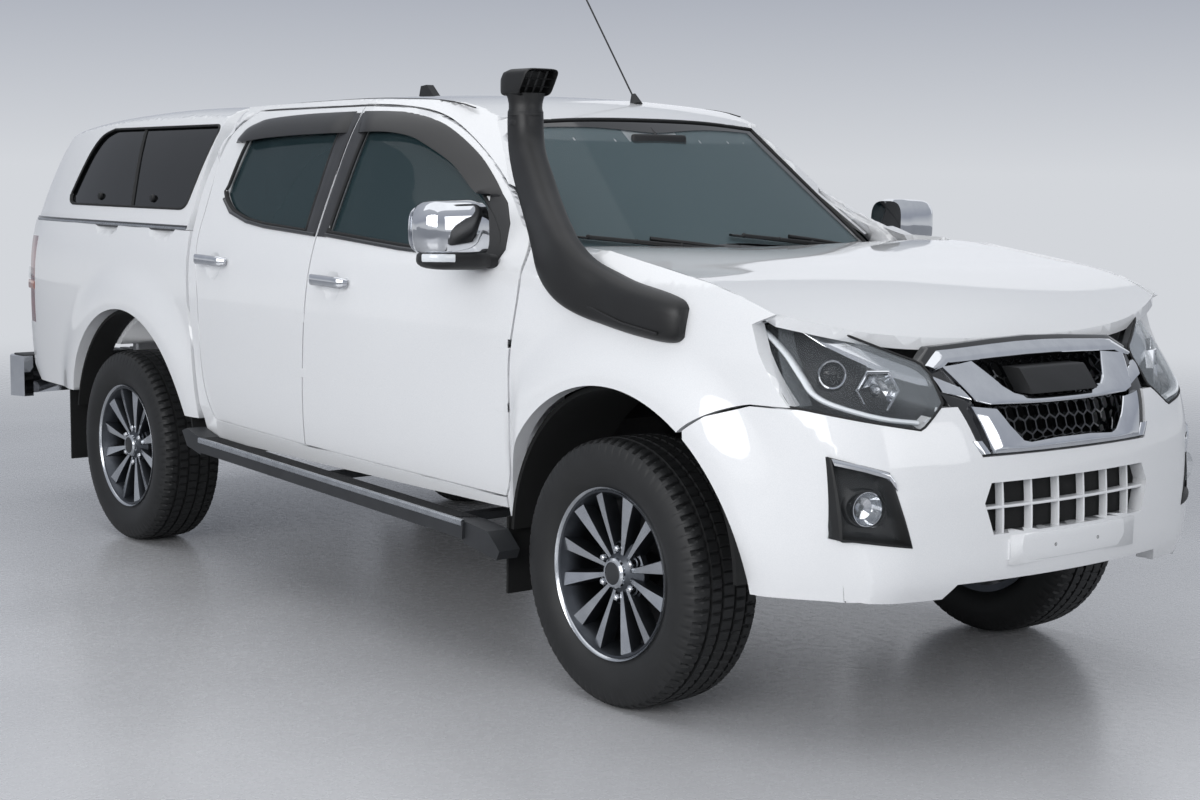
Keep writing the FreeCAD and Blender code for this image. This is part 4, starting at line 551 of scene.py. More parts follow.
# Finishes by slot name: what each is called, light and dark shade, lowest and highest roughness, grains per
# metre and how strongly they show
MOULDED = {
    "satin_plastic": ("satin_black_moulded_polyethylene", "#0E0F10", "#0A0A0B", 0.4, 0.54, 700.0, 0.3),
    "trim": ("black_moulded_trim", "#17181A", "#0F1011", 0.45, 0.62, 900.0, 0.25),
    "grey_trim": ("dark_grey_moulded_trim", "#2B2D30", "#222427", 0.45, 0.6, 900.0, 0.25),
    "gloss_black": ("gloss_black_film", "#0B0C0E", "#08090A", 0.06, 0.12, 400.0, 0.02),
    "rubber": ("black_extruded_rubber", "#131415", "#0D0E0F", 0.6, 0.75, 1200.0, 0.2),
    "liner": ("black_wheel_arch_felt", "#0F1011", "#090A0A", 0.85, 0.95, 300.0, 0.6),
    "chassis": ("black_chassis_wax", "#161617", "#0D0D0E", 0.5, 0.7, 60.0, 0.3),
    "smoke": ("smoked_acrylic_shield", "#060607", "#040405", 0.26, 0.34, 300.0, 0.02),
    "red_lens": ("red_acrylic_lens", "#7E0A12", "#5A060C", 0.04, 0.09, 150.0, 0.03),
    "amber_lens": ("amber_acrylic_lens", "#B4581A", "#8F4212", 0.05, 0.1, 300.0, 0.05),
    "dash": ("soft_grained_dashboard_skin", "#232427", "#191A1C", 0.6, 0.75, 500.0, 0.5),
    "headliner": ("pale_grey_headliner_felt", "#B4B4B0", "#A5A5A1", 0.9, 0.97, 700.0, 0.3),
    "bezel": ("dark_metallised_lamp_bezel", "#1D1E21", "#121315", 0.16, 0.26, 300.0, 0.03),
    "light_guide": ("frosted_acrylic_light_guide", "#E4E8EC", "#D2D7DC", 0.12, 0.22, 200.0, 0.05),
    "pillar_film": ("satin_black_pillar_film", "#3A3B3E", "#323336", 0.38, 0.46, 600.0, 0.05),
    "sidewall": ("tyre_sidewall_rubber", "#191A1B", "#121314", 0.52, 0.66, 420.0, 0.2),
}
METALS = {
    "chrome": ("polished_chrome_plating", "#D9DBDE", "#CFD1D5", 0.03, 0.07, 30.0, 0.02),
    "satin_silver": ("brushed_silver_strip", "#B9BCC0", "#A5A8AC", 0.22, 0.34, 260.0, 0.1),
    "alloy": ("machined_alloy_face", "#C3C6CA", "#B2B5BA", 0.16, 0.26, 500.0, 0.06),
    "alloy_dark": ("painted_graphite_alloy", "#55585D", "#484B50", 0.34, 0.44, 300.0, 0.05),
    "iron": ("cast_iron_rough", "#4A4A4B", "#333334", 0.45, 0.65, 120.0, 0.4),
    "steel": ("aluminised_steel_tube", "#7C7D80", "#5F6063", 0.35, 0.5, 90.0, 0.2),
}
# Panes: what each is called, its colour, and how much it hides face on and at a grazing look
PANES = {
    "window": ("green_grey_tinted_glass", "#33454A", 0.34, 0.96),
    "windscreen": ("laminated_windscreen_glass", "#71848A", 0.12, 0.85),
    "dark_window": ("dark_canopy_glass", "#07090A", 0.9, 1.0),
    "clear_lens": ("clear_polycarbonate_lens", "#B9C0C6", 0.03, 0.3),
}
# Moulded finishes with a clear coat over them, and with a metallic share
COATED = {"gloss_black": 0.6, "red_lens": 1.0, "amber_lens": 1.0, "light_guide": 0.8}
METALLISED = {"bezel": 0.5, "pillar_film": 0.3}
FINISHES = {}


def make_finishes():
    FINISHES["paint"] = pearl_white_car_paint()
    FINISHES["cloth"] = woven_cloth("charcoal_woven_seat_cloth", "#222326", "#17181A")
    for key, row in MOULDED.items():
        FINISHES[key] = moulded(*row, Coat_Weight=COATED.get(key, 0.0), Metallic=METALLISED.get(key, 0.0))
    for key, row in METALS.items():
        FINISHES[key] = bright_metal(*row)
    for key, row in PANES.items():
        FINISHES[key] = glazing(*row)


# Repeats made by Geometry Nodes
def repeat_tree():
    # Copies of one piece, stepped along a line and turned about an axis through a centre.
    tree = bpy.data.node_groups.new("repeat_piece", "GeometryNodeTree")
    kinds = {"Geometry": "Geometry", "Count": "Int", "Turn": "Float", "Axis": "Vector", "Centre": "Vector",
             "Step": "Vector", "Finish": "Material"}
    for name, kind in kinds.items():
        tree.interface.new_socket(name, in_out="INPUT", socket_type="NodeSocket" + kind)
    tree.interface.new_socket("Geometry", in_out="OUTPUT", socket_type="NodeSocketGeometry")
    given = add_node(tree, "NodeGroupInput").outputs
    spots = add_node(tree, "GeometryNodeMeshLine", links={
        "Count": given["Count"], "Start Location": given["Centre"], "Offset": given["Step"]})
    back = add_node(tree, "ShaderNodeVectorMath", {1: (-1.0, -1.0, -1.0)}, {0: given["Centre"]},
                    operation="MULTIPLY")
    unit = add_node(tree, "GeometryNodeTransform",
                    links={"Geometry": given["Geometry"], "Translation": back.outputs[0]})
    number = add_node(tree, "GeometryNodeInputIndex")
    angle = add_node(tree, "ShaderNodeMath", links={0: number.outputs[0], 1: given["Turn"]},
                     operation="MULTIPLY")
    turned = add_node(tree, "FunctionNodeAxisAngleToRotation",
                      links={"Axis": given["Axis"], "Angle": angle.outputs[0]})
    copies = add_node(tree, "GeometryNodeInstanceOnPoints", links={
        "Points": spots.outputs[0], "Instance": unit.outputs[0], "Rotation": turned.outputs[0]})
    real = add_node(tree, "GeometryNodeRealizeInstances", links={"Geometry": copies.outputs[0]})
    finished = add_node(tree, "GeometryNodeSetMaterial",
                        links={"Geometry": real.outputs[0], "Material": given["Finish"]})
    add_node(tree, "NodeGroupOutput", links={0: finished.outputs[0]})
    return tree


def repeated(piece, count, finish, turn=0.0, axis=(0, 1, 0), centre=(0, 0, 0), step=(0, 0, 0)):
    # The piece with its copies as one plain mesh; the turn is in degrees, places in millimetres.
    tree = bpy.data.node_groups.get("repeat_piece") or repeat_tree()
    maker = piece.modifiers.new("repeat", "NODES")
    maker.node_group = tree
    values = {"Count": count, "Turn": math.radians(turn), "Axis": axis, "Centre": [c * MM for c in centre],
              "Step": [c * MM for c in step], "Finish": finish}
    for socket in tree.interface.items_tree:
        if socket.name in values:
            maker[socket.identifier] = values[socket.name]
    return settled(piece)


# Wheels
TREAD_PITCHES = 72
SPOKE_PAIRS = 6
LUG_CIRCLE = 69.85

# Across the tyre from its crown: (offset, radius) of the casing, and (from, to, depth) of the grooves.
CASING = ((0, 381.5), (62, 380.6), (92, 378.0), (104, 374.5), (113, 367.0), (119, 355.0), (124, 338.0),
          (126.5, 320.0), (127, 306.0), (124, 286.0), (118, 268.0), (111, 256.0), (106, 249.0), (104, 240.0),
          (96, 236.0))
GROOVES = ((-70, -60, 8.5), (-27, -18, 8.5), (18, 27, 8.5), (60, 70, 8.5))


def casing_radius(offset):
    # Radius of the casing at an offset within its tread.
    return blend(tuple((a, r) for a, r in CASING[:5]), abs(offset))


def tread_depth(offset, pitch_share):
    # How deep the tread is cut at an offset and a share of one pitch, in millimetres.
    for low, high, depth in GROOVES:
        if low <= offset <= high:
            return depth
    slant = (pitch_share + abs(offset) * 0.004) % 1.0
    if abs(offset) > 70:
        return 7.0 if slant < 0.24 else 0.0
    if abs(offset) > 27:
        return 6.0 if (slant + 0.5) % 1.0 < 0.14 else 0.0
    return 5.0 if (slant + 0.25) % 1.0 < 0.1 else 0.0


def tyre_shape(name, x, y):
    # Tread blocks and casing as one skin, closed through the bead.
    grooves = sorted({v + d for low, high, _ in GROOVES for v in (low, high) for d in (-0.4, 0.4)})
    tread = sorted(set([-104, -98, -90, -80, -50, -38, -9, 0, 9, 38, 50, 80, 90, 98, 104] + grooves))
    flank = [(a, r) for a, r in CASING[4:]]
    shares = (0.0, 0.03, 0.21, 0.24, 0.42, 0.62, 0.64, 0.77, 0.79, 0.9)
    rows = []
    for pitch in range(TREAD_PITCHES):
        for share in shares:
            angle = 2 * math.pi * (pitch + share) / TREAD_PITCHES
            row = [(-a, r) for a, r in reversed(flank)]
            row += [(a, casing_radius(a) - tread_depth(a, share)) for a in tread]
            row += flank
            lug = 2.2 if share < 0.24 else 0.0
            row = [(a, r - (lug if 352 < r < 370 else 0.0)) for a, r in row]
            rows.append([(x + r * math.cos(angle), y + a, AXLE_Z + r * math.sin(angle)) for a, r in row])
    return skinned(name, rows, True, True, 30)


def spoke_shape(name, x, y, side, lean, half_tip=21.0):
    # One spoke with a flat face that widens and rises towards the rim; its flanks fall away behind.
    rows = []
    for step in range(11):
        t = step / 10.0
        r = 50 + 184 * t
        angle = math.radians(lean)
        spread = 6.5 + (half_tip - 6.5) * t ** 1.3
        face = 74 + 22 * t ** 1.6 + 5 * math.sin(math.pi * t)
        deep = 30 + 30 * t
        foot = spread + 5
        mid = Vector((math.cos(angle) * r, 0, math.sin(angle) * r))
        across = Vector((-math.sin(angle), 0, math.cos(angle)))
        tilt = 4.0 * (1 if lean > 0 else -1) * t
        profile = [(-foot, deep), (-spread, face - tilt - 4), (-spread + 1.2, face - tilt),
                   (spread - 1.2, face + tilt), (spread, face + tilt - 4), (foot, deep)]
        row = []
        for a, b in profile:
            p = mid + across * a
            row.append((x + p.x, y + side * b, AXLE_Z + p.z))
        rows.append(row)
    return skinned(name, rows, False, True, 25, True)


def keep_faces(source, numbers, target):
    # The faces with these numbers, written to the target mesh.
    cut = bmesh.new()
    cut.from_mesh(source)
    bmesh.ops.delete(cut, geom=[f for f in cut.faces if f.index not in numbers], context="FACES")
    cut.to_mesh(target)
    cut.free()
    soften(target, 30)


def split_faces(piece, name, side, level):
    # The polygons that face the wheel's outer side become a piece of their own.
    outer = {p.index for p in piece.data.polygons if p.normal.y * side > level}
    inner = set(range(len(piece.data.polygons))) - outer
    mesh = bpy.data.meshes.new(name)
    keep_faces(piece.data, outer, mesh)
    keep_faces(piece.data, inner, piece.data)
    return linked(name, mesh)


# Wheel parts turned about the axle: places of (radius, outwards from the wheel's middle)
RIM_BARREL = ((246, -116), (246, -108), (232, -104), (226, -60), (214, 0), (217, 60), (229, 88), (236, 100),
              (236, 106), (230, 104), (222, 86), (208, 56), (205, 0), (219, -64), (224, -112))
RIM_LIP = ((232, 96), (236, 104), (240, 110), (244.5, 113), (246, 110), (246, 104), (240, 100))
HUB = ((0, 50), (96, 40), (92, 56), (80, 64), (58, 70), (46, 84), (36, 88), (0, 88))
CAP_RING = ((36, 86), (45, 84), (43, 92), (37, 97), (32, 97), (31, 92))
CAP = ((0, 88), (33, 88), (32, 94), (26, 97), (0, 99))
LUG_NUT = ((0, 52), (13, 52), (12.2, 76), (10.5, 84), (6, 88), (0, 89))
LUG_WELL = ((13.5, 60), (19, 60), (20, 70), (16.5, 72), (14.5, 64))
LUG_COUNT = 6
SPOKE_LEAN = 13.5


def make_wheel(end, name):
    side = SIDES[name]
    x = FRONT_AXLE_X if end == "front" else REAR_AXLE_X
    y = side * WHEEL_Y
    tag = "%s_%s" % (end, name)
    body = "wheel_" + tag
    centre = (x, y, AXLE_Z)

    def turned(title, profile, count, at=centre, **more):
        return lathe(title + tag, [(r, side * a) for r, a in profile], at, count, **more)

    dress(tyre_shape("tyre_shape_" + tag, x, y), "sidewall", body, "tyre_" + tag)
    dress(turned("barrel_", RIM_BARREL, 96), "alloy_dark", body, "rim_" + tag)
    dress(turned("rim_lip_", RIM_LIP, 96), "alloy", body)
    pair = joined("spokes_" + tag, [spoke_shape("spoke", x, y, side, lean)
                                    for lean in (-SPOKE_LEAN, SPOKE_LEAN)])
    pair.data.materials.append(FINISHES["alloy_dark"])
    spokes = repeated(pair, SPOKE_PAIRS, FINISHES["alloy_dark"], 360 / SPOKE_PAIRS, centre=centre)
    face = split_faces(spokes, "spoke_faces_" + tag, side, 0.8)
    dress(spokes, "alloy_dark", body)
    dress(face, "alloy", body)
    dress(turned("wheel_hub_", HUB, 48, closed=False), "alloy_dark", body)
    dress(turned("cap_ring_", CAP_RING, 48), "alloy", body)
    dress(turned("cap_", CAP, 40, closed=False), "grey_trim", body)
    seat = (x + LUG_CIRCLE * math.cos(math.pi / LUG_COUNT), y,
            AXLE_Z + LUG_CIRCLE * math.sin(math.pi / LUG_COUNT))
    for piece, finish in ((turned("lug_nuts_", LUG_NUT, 6, seat, closed=False, sharp=20), "chrome"),
                          (turned("lug_wells_", LUG_WELL, 24, seat), "alloy_dark")):
        dress(repeated(piece, LUG_COUNT, FINISHES[finish], 360 / LUG_COUNT, centre=centre), finish, body)


class PICKUP_OT_wheels(bpy.types.Operator):
    """Tyres with cut tread, and twin-spoke alloy wheels"""

    bl_idname = "pickup.wheels"
    bl_label = "Wheels"

    def execute(self, context):
        for end in ENDS:
            for name in SIDES:
                make_wheel(end, name)
        return {"FINISHED"}


class PickupSettings(bpy.types.PropertyGroup):
    """Floor size, key light power and lens that a user may change before the pieces are made."""

    floor_size: bpy.props.FloatProperty(
        name="Floor size", description="Width of the studio floor", default=60.0, min=10.0, unit="LENGTH")
    key_power: bpy.props.FloatProperty(
        name="Key light", description="Power of the big soft lamp over the vehicle", default=180.0, min=0.0,
        unit="POWER")
    lens: bpy.props.FloatProperty(
        name="Lens", description="Focal length on a 36 mm sensor", default=58.74, min=20.0,
        subtype="DISTANCE_CAMERA")


# Studio lamps in metres and watts: name, place, aim, width, height and power. The settings give the power
# of the first.
LAMPS = (("lamp_overhead", (0.0, -1.0, 6.0), (0.0, -0.6, 0.8), 11.0, 7.0, None),
         ("lamp_camera_side", (3.6, -7.5, 2.9), (0.0, -0.4, 0.9), 8.0, 3.0, 360.0),
         ("lamp_front", (8.0, 0.8, 2.4), (1.6, 0, 0.8), 4.0, 2.4, 60.0),
         ("lamp_far_side", (-3.0, 8.0, 3.4), (0, 0, 1.0), 9.0, 3.0, 40.0))

# The camera of the photo: its place in metres, and its turn, pitch and roll in degrees.
CAMERA_SPOT = (5.9217, -4.2739, 1.5041)
CAMERA_TURN = 51.35
CAMERA_PITCH = 6.72
CAMERA_ROLL = 0.62

# Tones of the studio for the camera and gloss: floor line, low wall, upper wall, and the light all round.
HORIZON = "#D3D6DB"
LOW_WALL = "#A7ACB7"
UPPER_WALL = "#C6CAD1"
ROOM_LIGHT = "#E6EAF0"


def make_floor(width):
    half = width * 500
    corners = [(x * half, y * half, 0) for x, y in ((-1, -1), (1, -1), (1, 1), (-1, 1))]
    floor = new_piece("studio_floor", corners, [(0, 1, 2, 3)])
    floor.data.materials.append(polished_concrete())


def make_lamps(key_power):
    for name, spot, aim, wide, high, power in LAMPS:
        data = bpy.data.lights.new(name, "AREA")
        data.shape = "RECTANGLE"
        data.size, data.size_y = wide, high
        data.energy = power or key_power
        lamp = linked(name, data)
        lamp.location = spot
        lamp.rotation_euler = (Vector(aim) - Vector(spot)).to_track_quat("-Z", "Y").to_euler()


def make_walls():
    # Pale walls, graded from the floor line upwards, for camera, gloss and glass; an even light for the rest.
    world = bpy.data.worlds.new("studio_air")
    bpy.context.scene.world = world
    world.use_nodes = True
    tree = world.node_tree
    tree.nodes.clear()
    place = add_node(tree, "ShaderNodeTexCoord")
    split = add_node(tree, "ShaderNodeSeparateXYZ", links={"Vector": place.outputs["Generated"]})
    ramp = add_node(tree, "ShaderNodeValToRGB", links={"Fac": split.outputs["Z"]})
    ramp.color_ramp.elements[0].position = 0.0
    ramp.color_ramp.elements[0].color = linear(HORIZON)
    ramp.color_ramp.elements[1].position = 0.1
    ramp.color_ramp.elements[1].color = linear(LOW_WALL)
    ramp.color_ramp.elements.new(0.7).color = linear(UPPER_WALL)
    seen = add_node(tree, "ShaderNodeBackground", {"Strength": 1.0}, {"Color": ramp.outputs["Color"]})
    lit = add_node(tree, "ShaderNodeBackground", {"Color": linear(ROOM_LIGHT), "Strength": 0.5})
    path = add_node(tree, "ShaderNodeLightPath").outputs
    shows = path["Is Camera Ray"]
    for kind in ("Is Glossy Ray", "Is Transmission Ray"):
        shows = add_node(tree, "ShaderNodeMath", links={0: shows, 1: path[kind]},
                         operation="MAXIMUM").outputs[0]
    mix = add_node(tree, "ShaderNodeMixShader",
                   links={"Fac": shows, 1: lit.outputs[0], 2: seen.outputs[0]})
    add_node(tree, "ShaderNodeOutputWorld", links={"Surface": mix.outputs[0]})


def make_camera(lens):
    data = bpy.data.cameras.new("studio_camera")
    data.lens = lens
    data.sensor_width = 36.0
    camera = linked("studio_camera", data)
    turn, pitch, roll = (math.radians(a) for a in (CAMERA_TURN, CAMERA_PITCH, CAMERA_ROLL))
    ahead = Vector((-math.sin(turn) * math.cos(pitch), math.cos(turn) * math.cos(pitch), -math.sin(pitch)))
    right = Vector((math.cos(turn), math.sin(turn), 0))
    up = right.cross(ahead)
    leaned = math.cos(roll) * right + math.sin(roll) * up
    raised = math.cos(roll) * up - math.sin(roll) * right
    columns = (leaned, raised, -ahead, Vector(CAMERA_SPOT))
    camera.matrix_world = Matrix([[column[i] for column in columns] for i in range(3)] + [[0, 0, 0, 1]])
    bpy.context.scene.camera = camera


class PICKUP_OT_stage(bpy.types.Operator):
    """Pale floor and backdrop, soft studio lamps and the camera"""

    bl_idname = "pickup.stage"
    bl_label = "Stage"

    def execute(self, context):
        settings = context.scene.pickup
        context.scene.view_settings.view_transform = "Standard"
        make_floor(settings.floor_size)
        make_lamps(settings.key_power)
        make_walls()
        make_camera(settings.lens)
        return {"FINISHED"}


PAINTED = {"bonnet": ("bonnet_body", ["bonnet"]), "fender_left": ("vehicle", ["side"]),
           "fender_right": ("vehicle", ["side"]), "cab_side_left": ("vehicle", ["side", "roof"]),
           "cab_side_right": ("vehicle", ["side", "roof"]), "cab_roof": ("vehicle", ["roof"]),
           "cab_back": ("vehicle", []), "front_bumper": ("vehicle", ["corner"]),
           "tub_side_left": ("vehicle", ["side"]), "tub_side_right": ("vehicle", ["side"]),
           "tub_floor": ("vehicle", []), "tailgate": ("tailgate_body", []),
           "canopy_shell": ("vehicle", ["canopy"]), "door_front_left": ("door_front_left_body", ["side"]),
           "door_front_right": ("door_front_right_body", ["side"]),
           "door_rear_left": ("door_rear_left_body", ["side"]),
           "door_rear_right": ("door_rear_right_body", ["side"])}

CARRIED = {"chassis_frame": "chassis", "engine_gearbox": "iron", "exhaust": "steel", "fuel_tank": "trim",
           "drive_shafts": "chassis", "rear_axle": "chassis", "suspension": "chassis", "cab_floor": "chassis",
           "cab_glass": "windscreen", "grille": "chrome", "front_lamps": "clear_lens",
           "radiator_panel": "trim", "cowl_and_wipers": "trim", "canopy_glass": "dark_window",
           "canopy_door": "dark_window", "rear_bumper": "chrome", "tail_lamps": "red_lens",
           "side_steps": "grey_trim", "arch_liners": "liner", "aerials": "trim", "dashboard": "dash",
           "knuckle_left": "iron", "knuckle_right": "iron"}


class PICKUP_OT_panels(bpy.types.Operator):
    """Painted panels from the solids, shaded smoothly"""

    bl_idname = "pickup.panels"
    bl_label = "Painted panels"

    def execute(self, context):
        for node, (body, skins) in PAINTED.items():
            panel(node, body, skins)
        windows = {"door_glass_%s_%s" % (end, name): "window" for name in SIDES for end in ENDS}
        for node, finish in {**CARRIED, **windows}.items():
            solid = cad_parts[node]
            solid.data.materials.clear()
            solid.data.materials.append(FINISHES[finish])
        return {"FINISHED"}


# Nose
def along(points, count):
    # Evenly spaced places on a run of straight lines.
    spots = [Vector(p) for p in points]
    lengths = [0.0]
    for a, b in zip(spots, spots[1:]):
        lengths.append(lengths[-1] + (b - a).length)
    result = []
    for i in range(count + 1):
        want = lengths[-1] * i / count
        k = max(j for j in range(len(spots) - 1) if lengths[j] <= want + 1e-9)
        share = (want - lengths[k]) / max(lengths[k + 1] - lengths[k], 1e-9)
        result.append(tuple(spots[k].lerp(spots[k + 1], share)))
    return result


def on_nose(spot, out):
    y, z = spot
    return (front_x(y, z) + out, y, z)


def ribbon(name, pairs, place, top, depth, crown=0.0, lead=0.1, steps=6, sharp=30):
    # A raised band between two edges given as pairs of places; its section is a low crown with chamfers.
    rows = []
    for (a0, b0), (a1, b1) in zip(pairs, pairs[1:]):
        for k in range(steps):
            t = k / steps
            rows.append((Vector(a0).lerp(Vector(a1), t), Vector(b0).lerp(Vector(b1), t)))
    rows.append((Vector(pairs[-1][0]), Vector(pairs[-1][1])))
    section = ((0, top - depth), (0, top - 3), (lead * 0.35, top - 0.8), (lead, top),
               (0.35, top + crown * 0.85), (0.5, top + crown), (0.65, top + crown * 0.85), (1 - lead, top),
               (1 - lead * 0.35, top - 0.8), (1, top - 3), (1, top - depth))
    grid = [[place(tuple(a.lerp(b, t)), out) for t, out in section] for a, b in rows]
    return skinned(name, grid, False, True, sharp, True)


def thickened(piece, depth, offset=-1.0):
    # A sheet given real thickness.
    wall = piece.modifiers.new("wall", "SOLIDIFY")
    wall.thickness = depth * MM
    wall.offset = offset
    return settled(piece)


LAMP_AXIS = (2150.0, 400.0)
GUIDE_LINE = ((792, 1104), (776, 1072), (764, 1030), (758, 975), (750, 935), (714, 908), (629, 880),
              (529, 866))
GUIDE_TIP = ((505, 866), (470, 880), (452, 900))
LAMP_ACROSS = 28
LAMP_UP = 10
LAMP_FLOOR = ((5, 912), (16.9, 848), (40, 877), (62.7, 906), (84, 922))
LAMP_TOP = ((5, 985), (8, 1012), (45, 1084), (70, 1116), (77, 1122), (84, 1116))
LAMP_BACK = ((905, 2352), (960, 2312), (1040, 2262), (1112, 2228))
# Behind the lens, turned about the lamps' aim: places of (radius, outwards from the lamp's eye).
PROJECTOR_RING = ((30, -26), (33, -26), (36, 2), (38.5, 6), (37, 9), (33, 8), (30.5, 2))
PROJECTOR_DOME = ((0.1, 10), (12, 8.5), (22, 3), (29, -8), (30, -14), (29, -22), (0.1, -24))
REFLECTOR_RING = ((52, -24), (56, -24), (60, 4), (57, 7), (53, 4))
REFLECTOR_BOWL = ((8, -30), (24, -27), (38, -20), (48, -8), (54, 3), (52, 3), (46, -9), (36, -22), (23, -29),
                  (8, -32))
BULB_CUP = ((0.1, -4), (9, -6), (13, -12), (14, -26), (0.1, -28))
INDICATOR = (((430, 948), (452, 1000)), ((470, 955), (480, 1015)), ((557, 980), (575, 1045)),
             ((640, 1026), (640, 1072)), ((684, 1056), (676, 1085)), ((735, 1108), (730, 1112)))


def between(table, t):
    # Straight lines through a table.
    for (a, p), (b, q) in zip(table, table[1:]):
        if t <= b:
            return p + (q - p) * max(0.0, t - a) / (b - a)
    return table[-1][1]


def nose_skin(theta, z, out=0.0):
    # Where a ray from the lamp's axis leaves the corner of the body, rounded between front and side.
    c, s = math.cos(math.radians(theta)), math.sin(math.radians(theta))
    low, high = 0.0, 900.0
    for _ in range(26):
        t = (low + high) / 2
        x, y = LAMP_AXIS[0] + t * c, LAMP_AXIS[1] + t * s
        low, high = (t, high) if corner_gap(x, y, z) < 0 else (low, t)
    return (LAMP_AXIS[0] + (low + out) * c, LAMP_AXIS[1] + (low + out) * s, z)


def lamp_spot(u, v, out=0.0):
    # A place on the lamp's face: u from its inner to its outer end, v from its foot to its top.
    theta, z = 30.0, 980.0
    for _ in range(5):
        x = between(LAMP_BACK, z)
        outer = math.degrees(math.atan2(side_y(x, z) - LAMP_AXIS[1], x - LAMP_AXIS[0]))
        theta = 5.0 + (outer - 5.0) * u
        z = between(LAMP_FLOOR, theta) * (1 - v) + between(LAMP_TOP, theta) * v
    return nose_skin(theta, z, out)


def in_lamp(y, z, out):
    # A place behind the lens, named by where it shows on the front face.
    theta = math.degrees(math.atan2(y - LAMP_AXIS[1], front_x(y, z) - LAMP_AXIS[0]))
    return nose_skin(theta, z, out)


def sided(point, side):
    return (point[0], side * point[1], point[2])


def make_lamp_shell(name):
    # The clear lens, the dark bowl behind it and the seal round its edge.
    side = SIDES[name]
    across, up = LAMP_ACROSS + 1, LAMP_UP + 1
    edge = [(u / LAMP_ACROSS, v / LAMP_UP) for u in range(across) for v in range(up)]
    face = grid_faces(across, up)
    lens = new_piece("headlamp_lens_" + name, [sided(lamp_spot(u, v, -2), side) for u, v in edge], face)
    dress(thickened(lens, 2.5, 0.0), "clear_lens")
    floor = [sided(lamp_spot(0.03 + 0.94 * u, 0.04 + 0.92 * v, -62 + 18 * abs(2 * v - 1)), side)
             for u, v in edge]
    rim = list(range(0, across * up, up)) + list(range(LAMP_ACROSS * up + 1, across * up))
    rim += list(range(LAMP_ACROSS * up - 1, -1, -up)) + list(range(LAMP_UP - 1, 0, -1))
    wall = [sided(lamp_spot(*edge[i], -5), side) for i in rim]
    turn = rim[1:] + rim[:1]
    shift = len(floor)
    face += [(a, b, shift + (i + 1) % len(rim), shift + i) for i, (a, b) in enumerate(zip(rim, turn))]
    dress(thickened(new_piece("headlamp_bezel_" + name, floor + wall, face, 30), 2.0), "bezel")
    loop = [sided(lamp_spot(*edge[i], -1.5), side) for i in rim]
    dress(sweep("headlamp_seal_" + name, loop, ring_profile(3.4, 3.4, 8), closed=True), "rubber")


def make_lamp_optics(name):
    side = SIDES[name]
    out = (0.86, side * 0.5, 0.05)
    eye = sided(in_lamp(700, 985, -34), side)
    reflector_eye = sided(in_lamp(604, 945, -34), side)
    pieces = [turned_piece("ring", PROJECTOR_RING, eye, out, 40),
              turned_piece("ring", REFLECTOR_RING, reflector_eye, out, 6),
              turned_piece("bowl", REFLECTOR_BOWL, reflector_eye, out, 6),
              ribbon("strip", INDICATOR, lambda p, d: sided(in_lamp(p[0], p[1], d), side), -16, 12, 2.0)]
    dress(joined("headlamp_reflectors_" + name, pieces), "chrome")
    dress(turned_piece("projector_lens_" + name, PROJECTOR_DOME, eye, out, 40), "dark_window")
    bulb = turned_piece("bulb_shield_" + name, BULB_CUP, reflector_eye, out, 24)
    dress(bulb, "satin_silver")
    for title, spots, count, ring in (("light_guide_", GUIDE_LINE, 40, ring_profile(14, 7.5, 10)),
                                      ("light_guide_tip_", GUIDE_TIP, 12, ring_profile(4, 4, 8))):
        path = [sided(in_lamp(y, z, -12), side) for y, z in curve_through(spots, count)]
        dress(sweep(title + name, path, ring), "light_guide")


def turned_piece(name, profile, centre, axis, count):
    # A closed profile of (radius, along the axis) turned about any axis.
    axis = Vector(axis).normalized()
    first = axis.cross(Vector((0, 0, 1))).normalized()
    second = axis.cross(first)
    points = []
    for i in range(count):
        angle = 2 * math.pi * i / count
        way = first * math.cos(angle) + second * math.sin(angle)
        points += [Vector(centre) + way * r + axis * a for r, a in profile]
    return new_piece(name, points, grid_faces(count, len(profile), True, True), 30)


class PICKUP_OT_headlamps(bpy.types.Operator):
    """Swept-back headlamps with projector, reflector, indicator strip and light guide"""

    bl_idname = "pickup.headlamps"
    bl_label = "Headlamps"

    def execute(self, context):
        for name in SIDES:
            make_lamp_shell(name)
            make_lamp_optics(name)
        return {"FINISHED"}


def honeycomb(name, y_half, z0, z1, cell, wall, out):
    # A row of six-sided cells repeated upwards, then laid behind the grille's opening.
    points, faces = [], []
    for ring, relief in ((cell, 0), (cell - wall, 0), (cell - wall, -12), (cell, -12)):
        points += [(relief, ring * math.sin(math.pi * k / 3), ring * math.cos(math.pi * k / 3))
                   for k in range(6)]
    for a in range(4):
        b = (a + 1) % 4
        faces += [(a * 6 + k, a * 6 + (k + 1) % 6, b * 6 + (k + 1) % 6, b * 6 + k) for k in range(6)]
    unit = new_piece(name, points, faces, 20)
    unit.data.transform(Matrix.Translation(Vector((0, -y_half, z0)) * MM))
    pitch = cell * math.sqrt(3)
    unit.data.materials.append(FINISHES["gloss_black"])
    row = repeated(unit, int(2 * y_half / pitch) + 1, FINISHES["gloss_black"], step=(0, pitch, 0),
                   centre=(0, -y_half, z0))
    other = linked(name, row.data.copy())
    other.data.transform(Matrix.Translation(Vector((0, pitch / 2, 1.5 * cell)) * MM))
    both = joined(name, [row, other])
    both.data.materials.append(FINISHES["gloss_black"])
    sheet = repeated(both, int((z1 - z0) / (3 * cell)) + 1, FINISHES["gloss_black"], step=(0, 0, 3 * cell),
                     centre=(0, 0, z0))
    for vertex in sheet.data.vertices:
        y, z = vertex.co.y / MM, vertex.co.z / MM
        vertex.co.x += (front_x(y, min(z, 1040)) + out) * MM
    return sheet


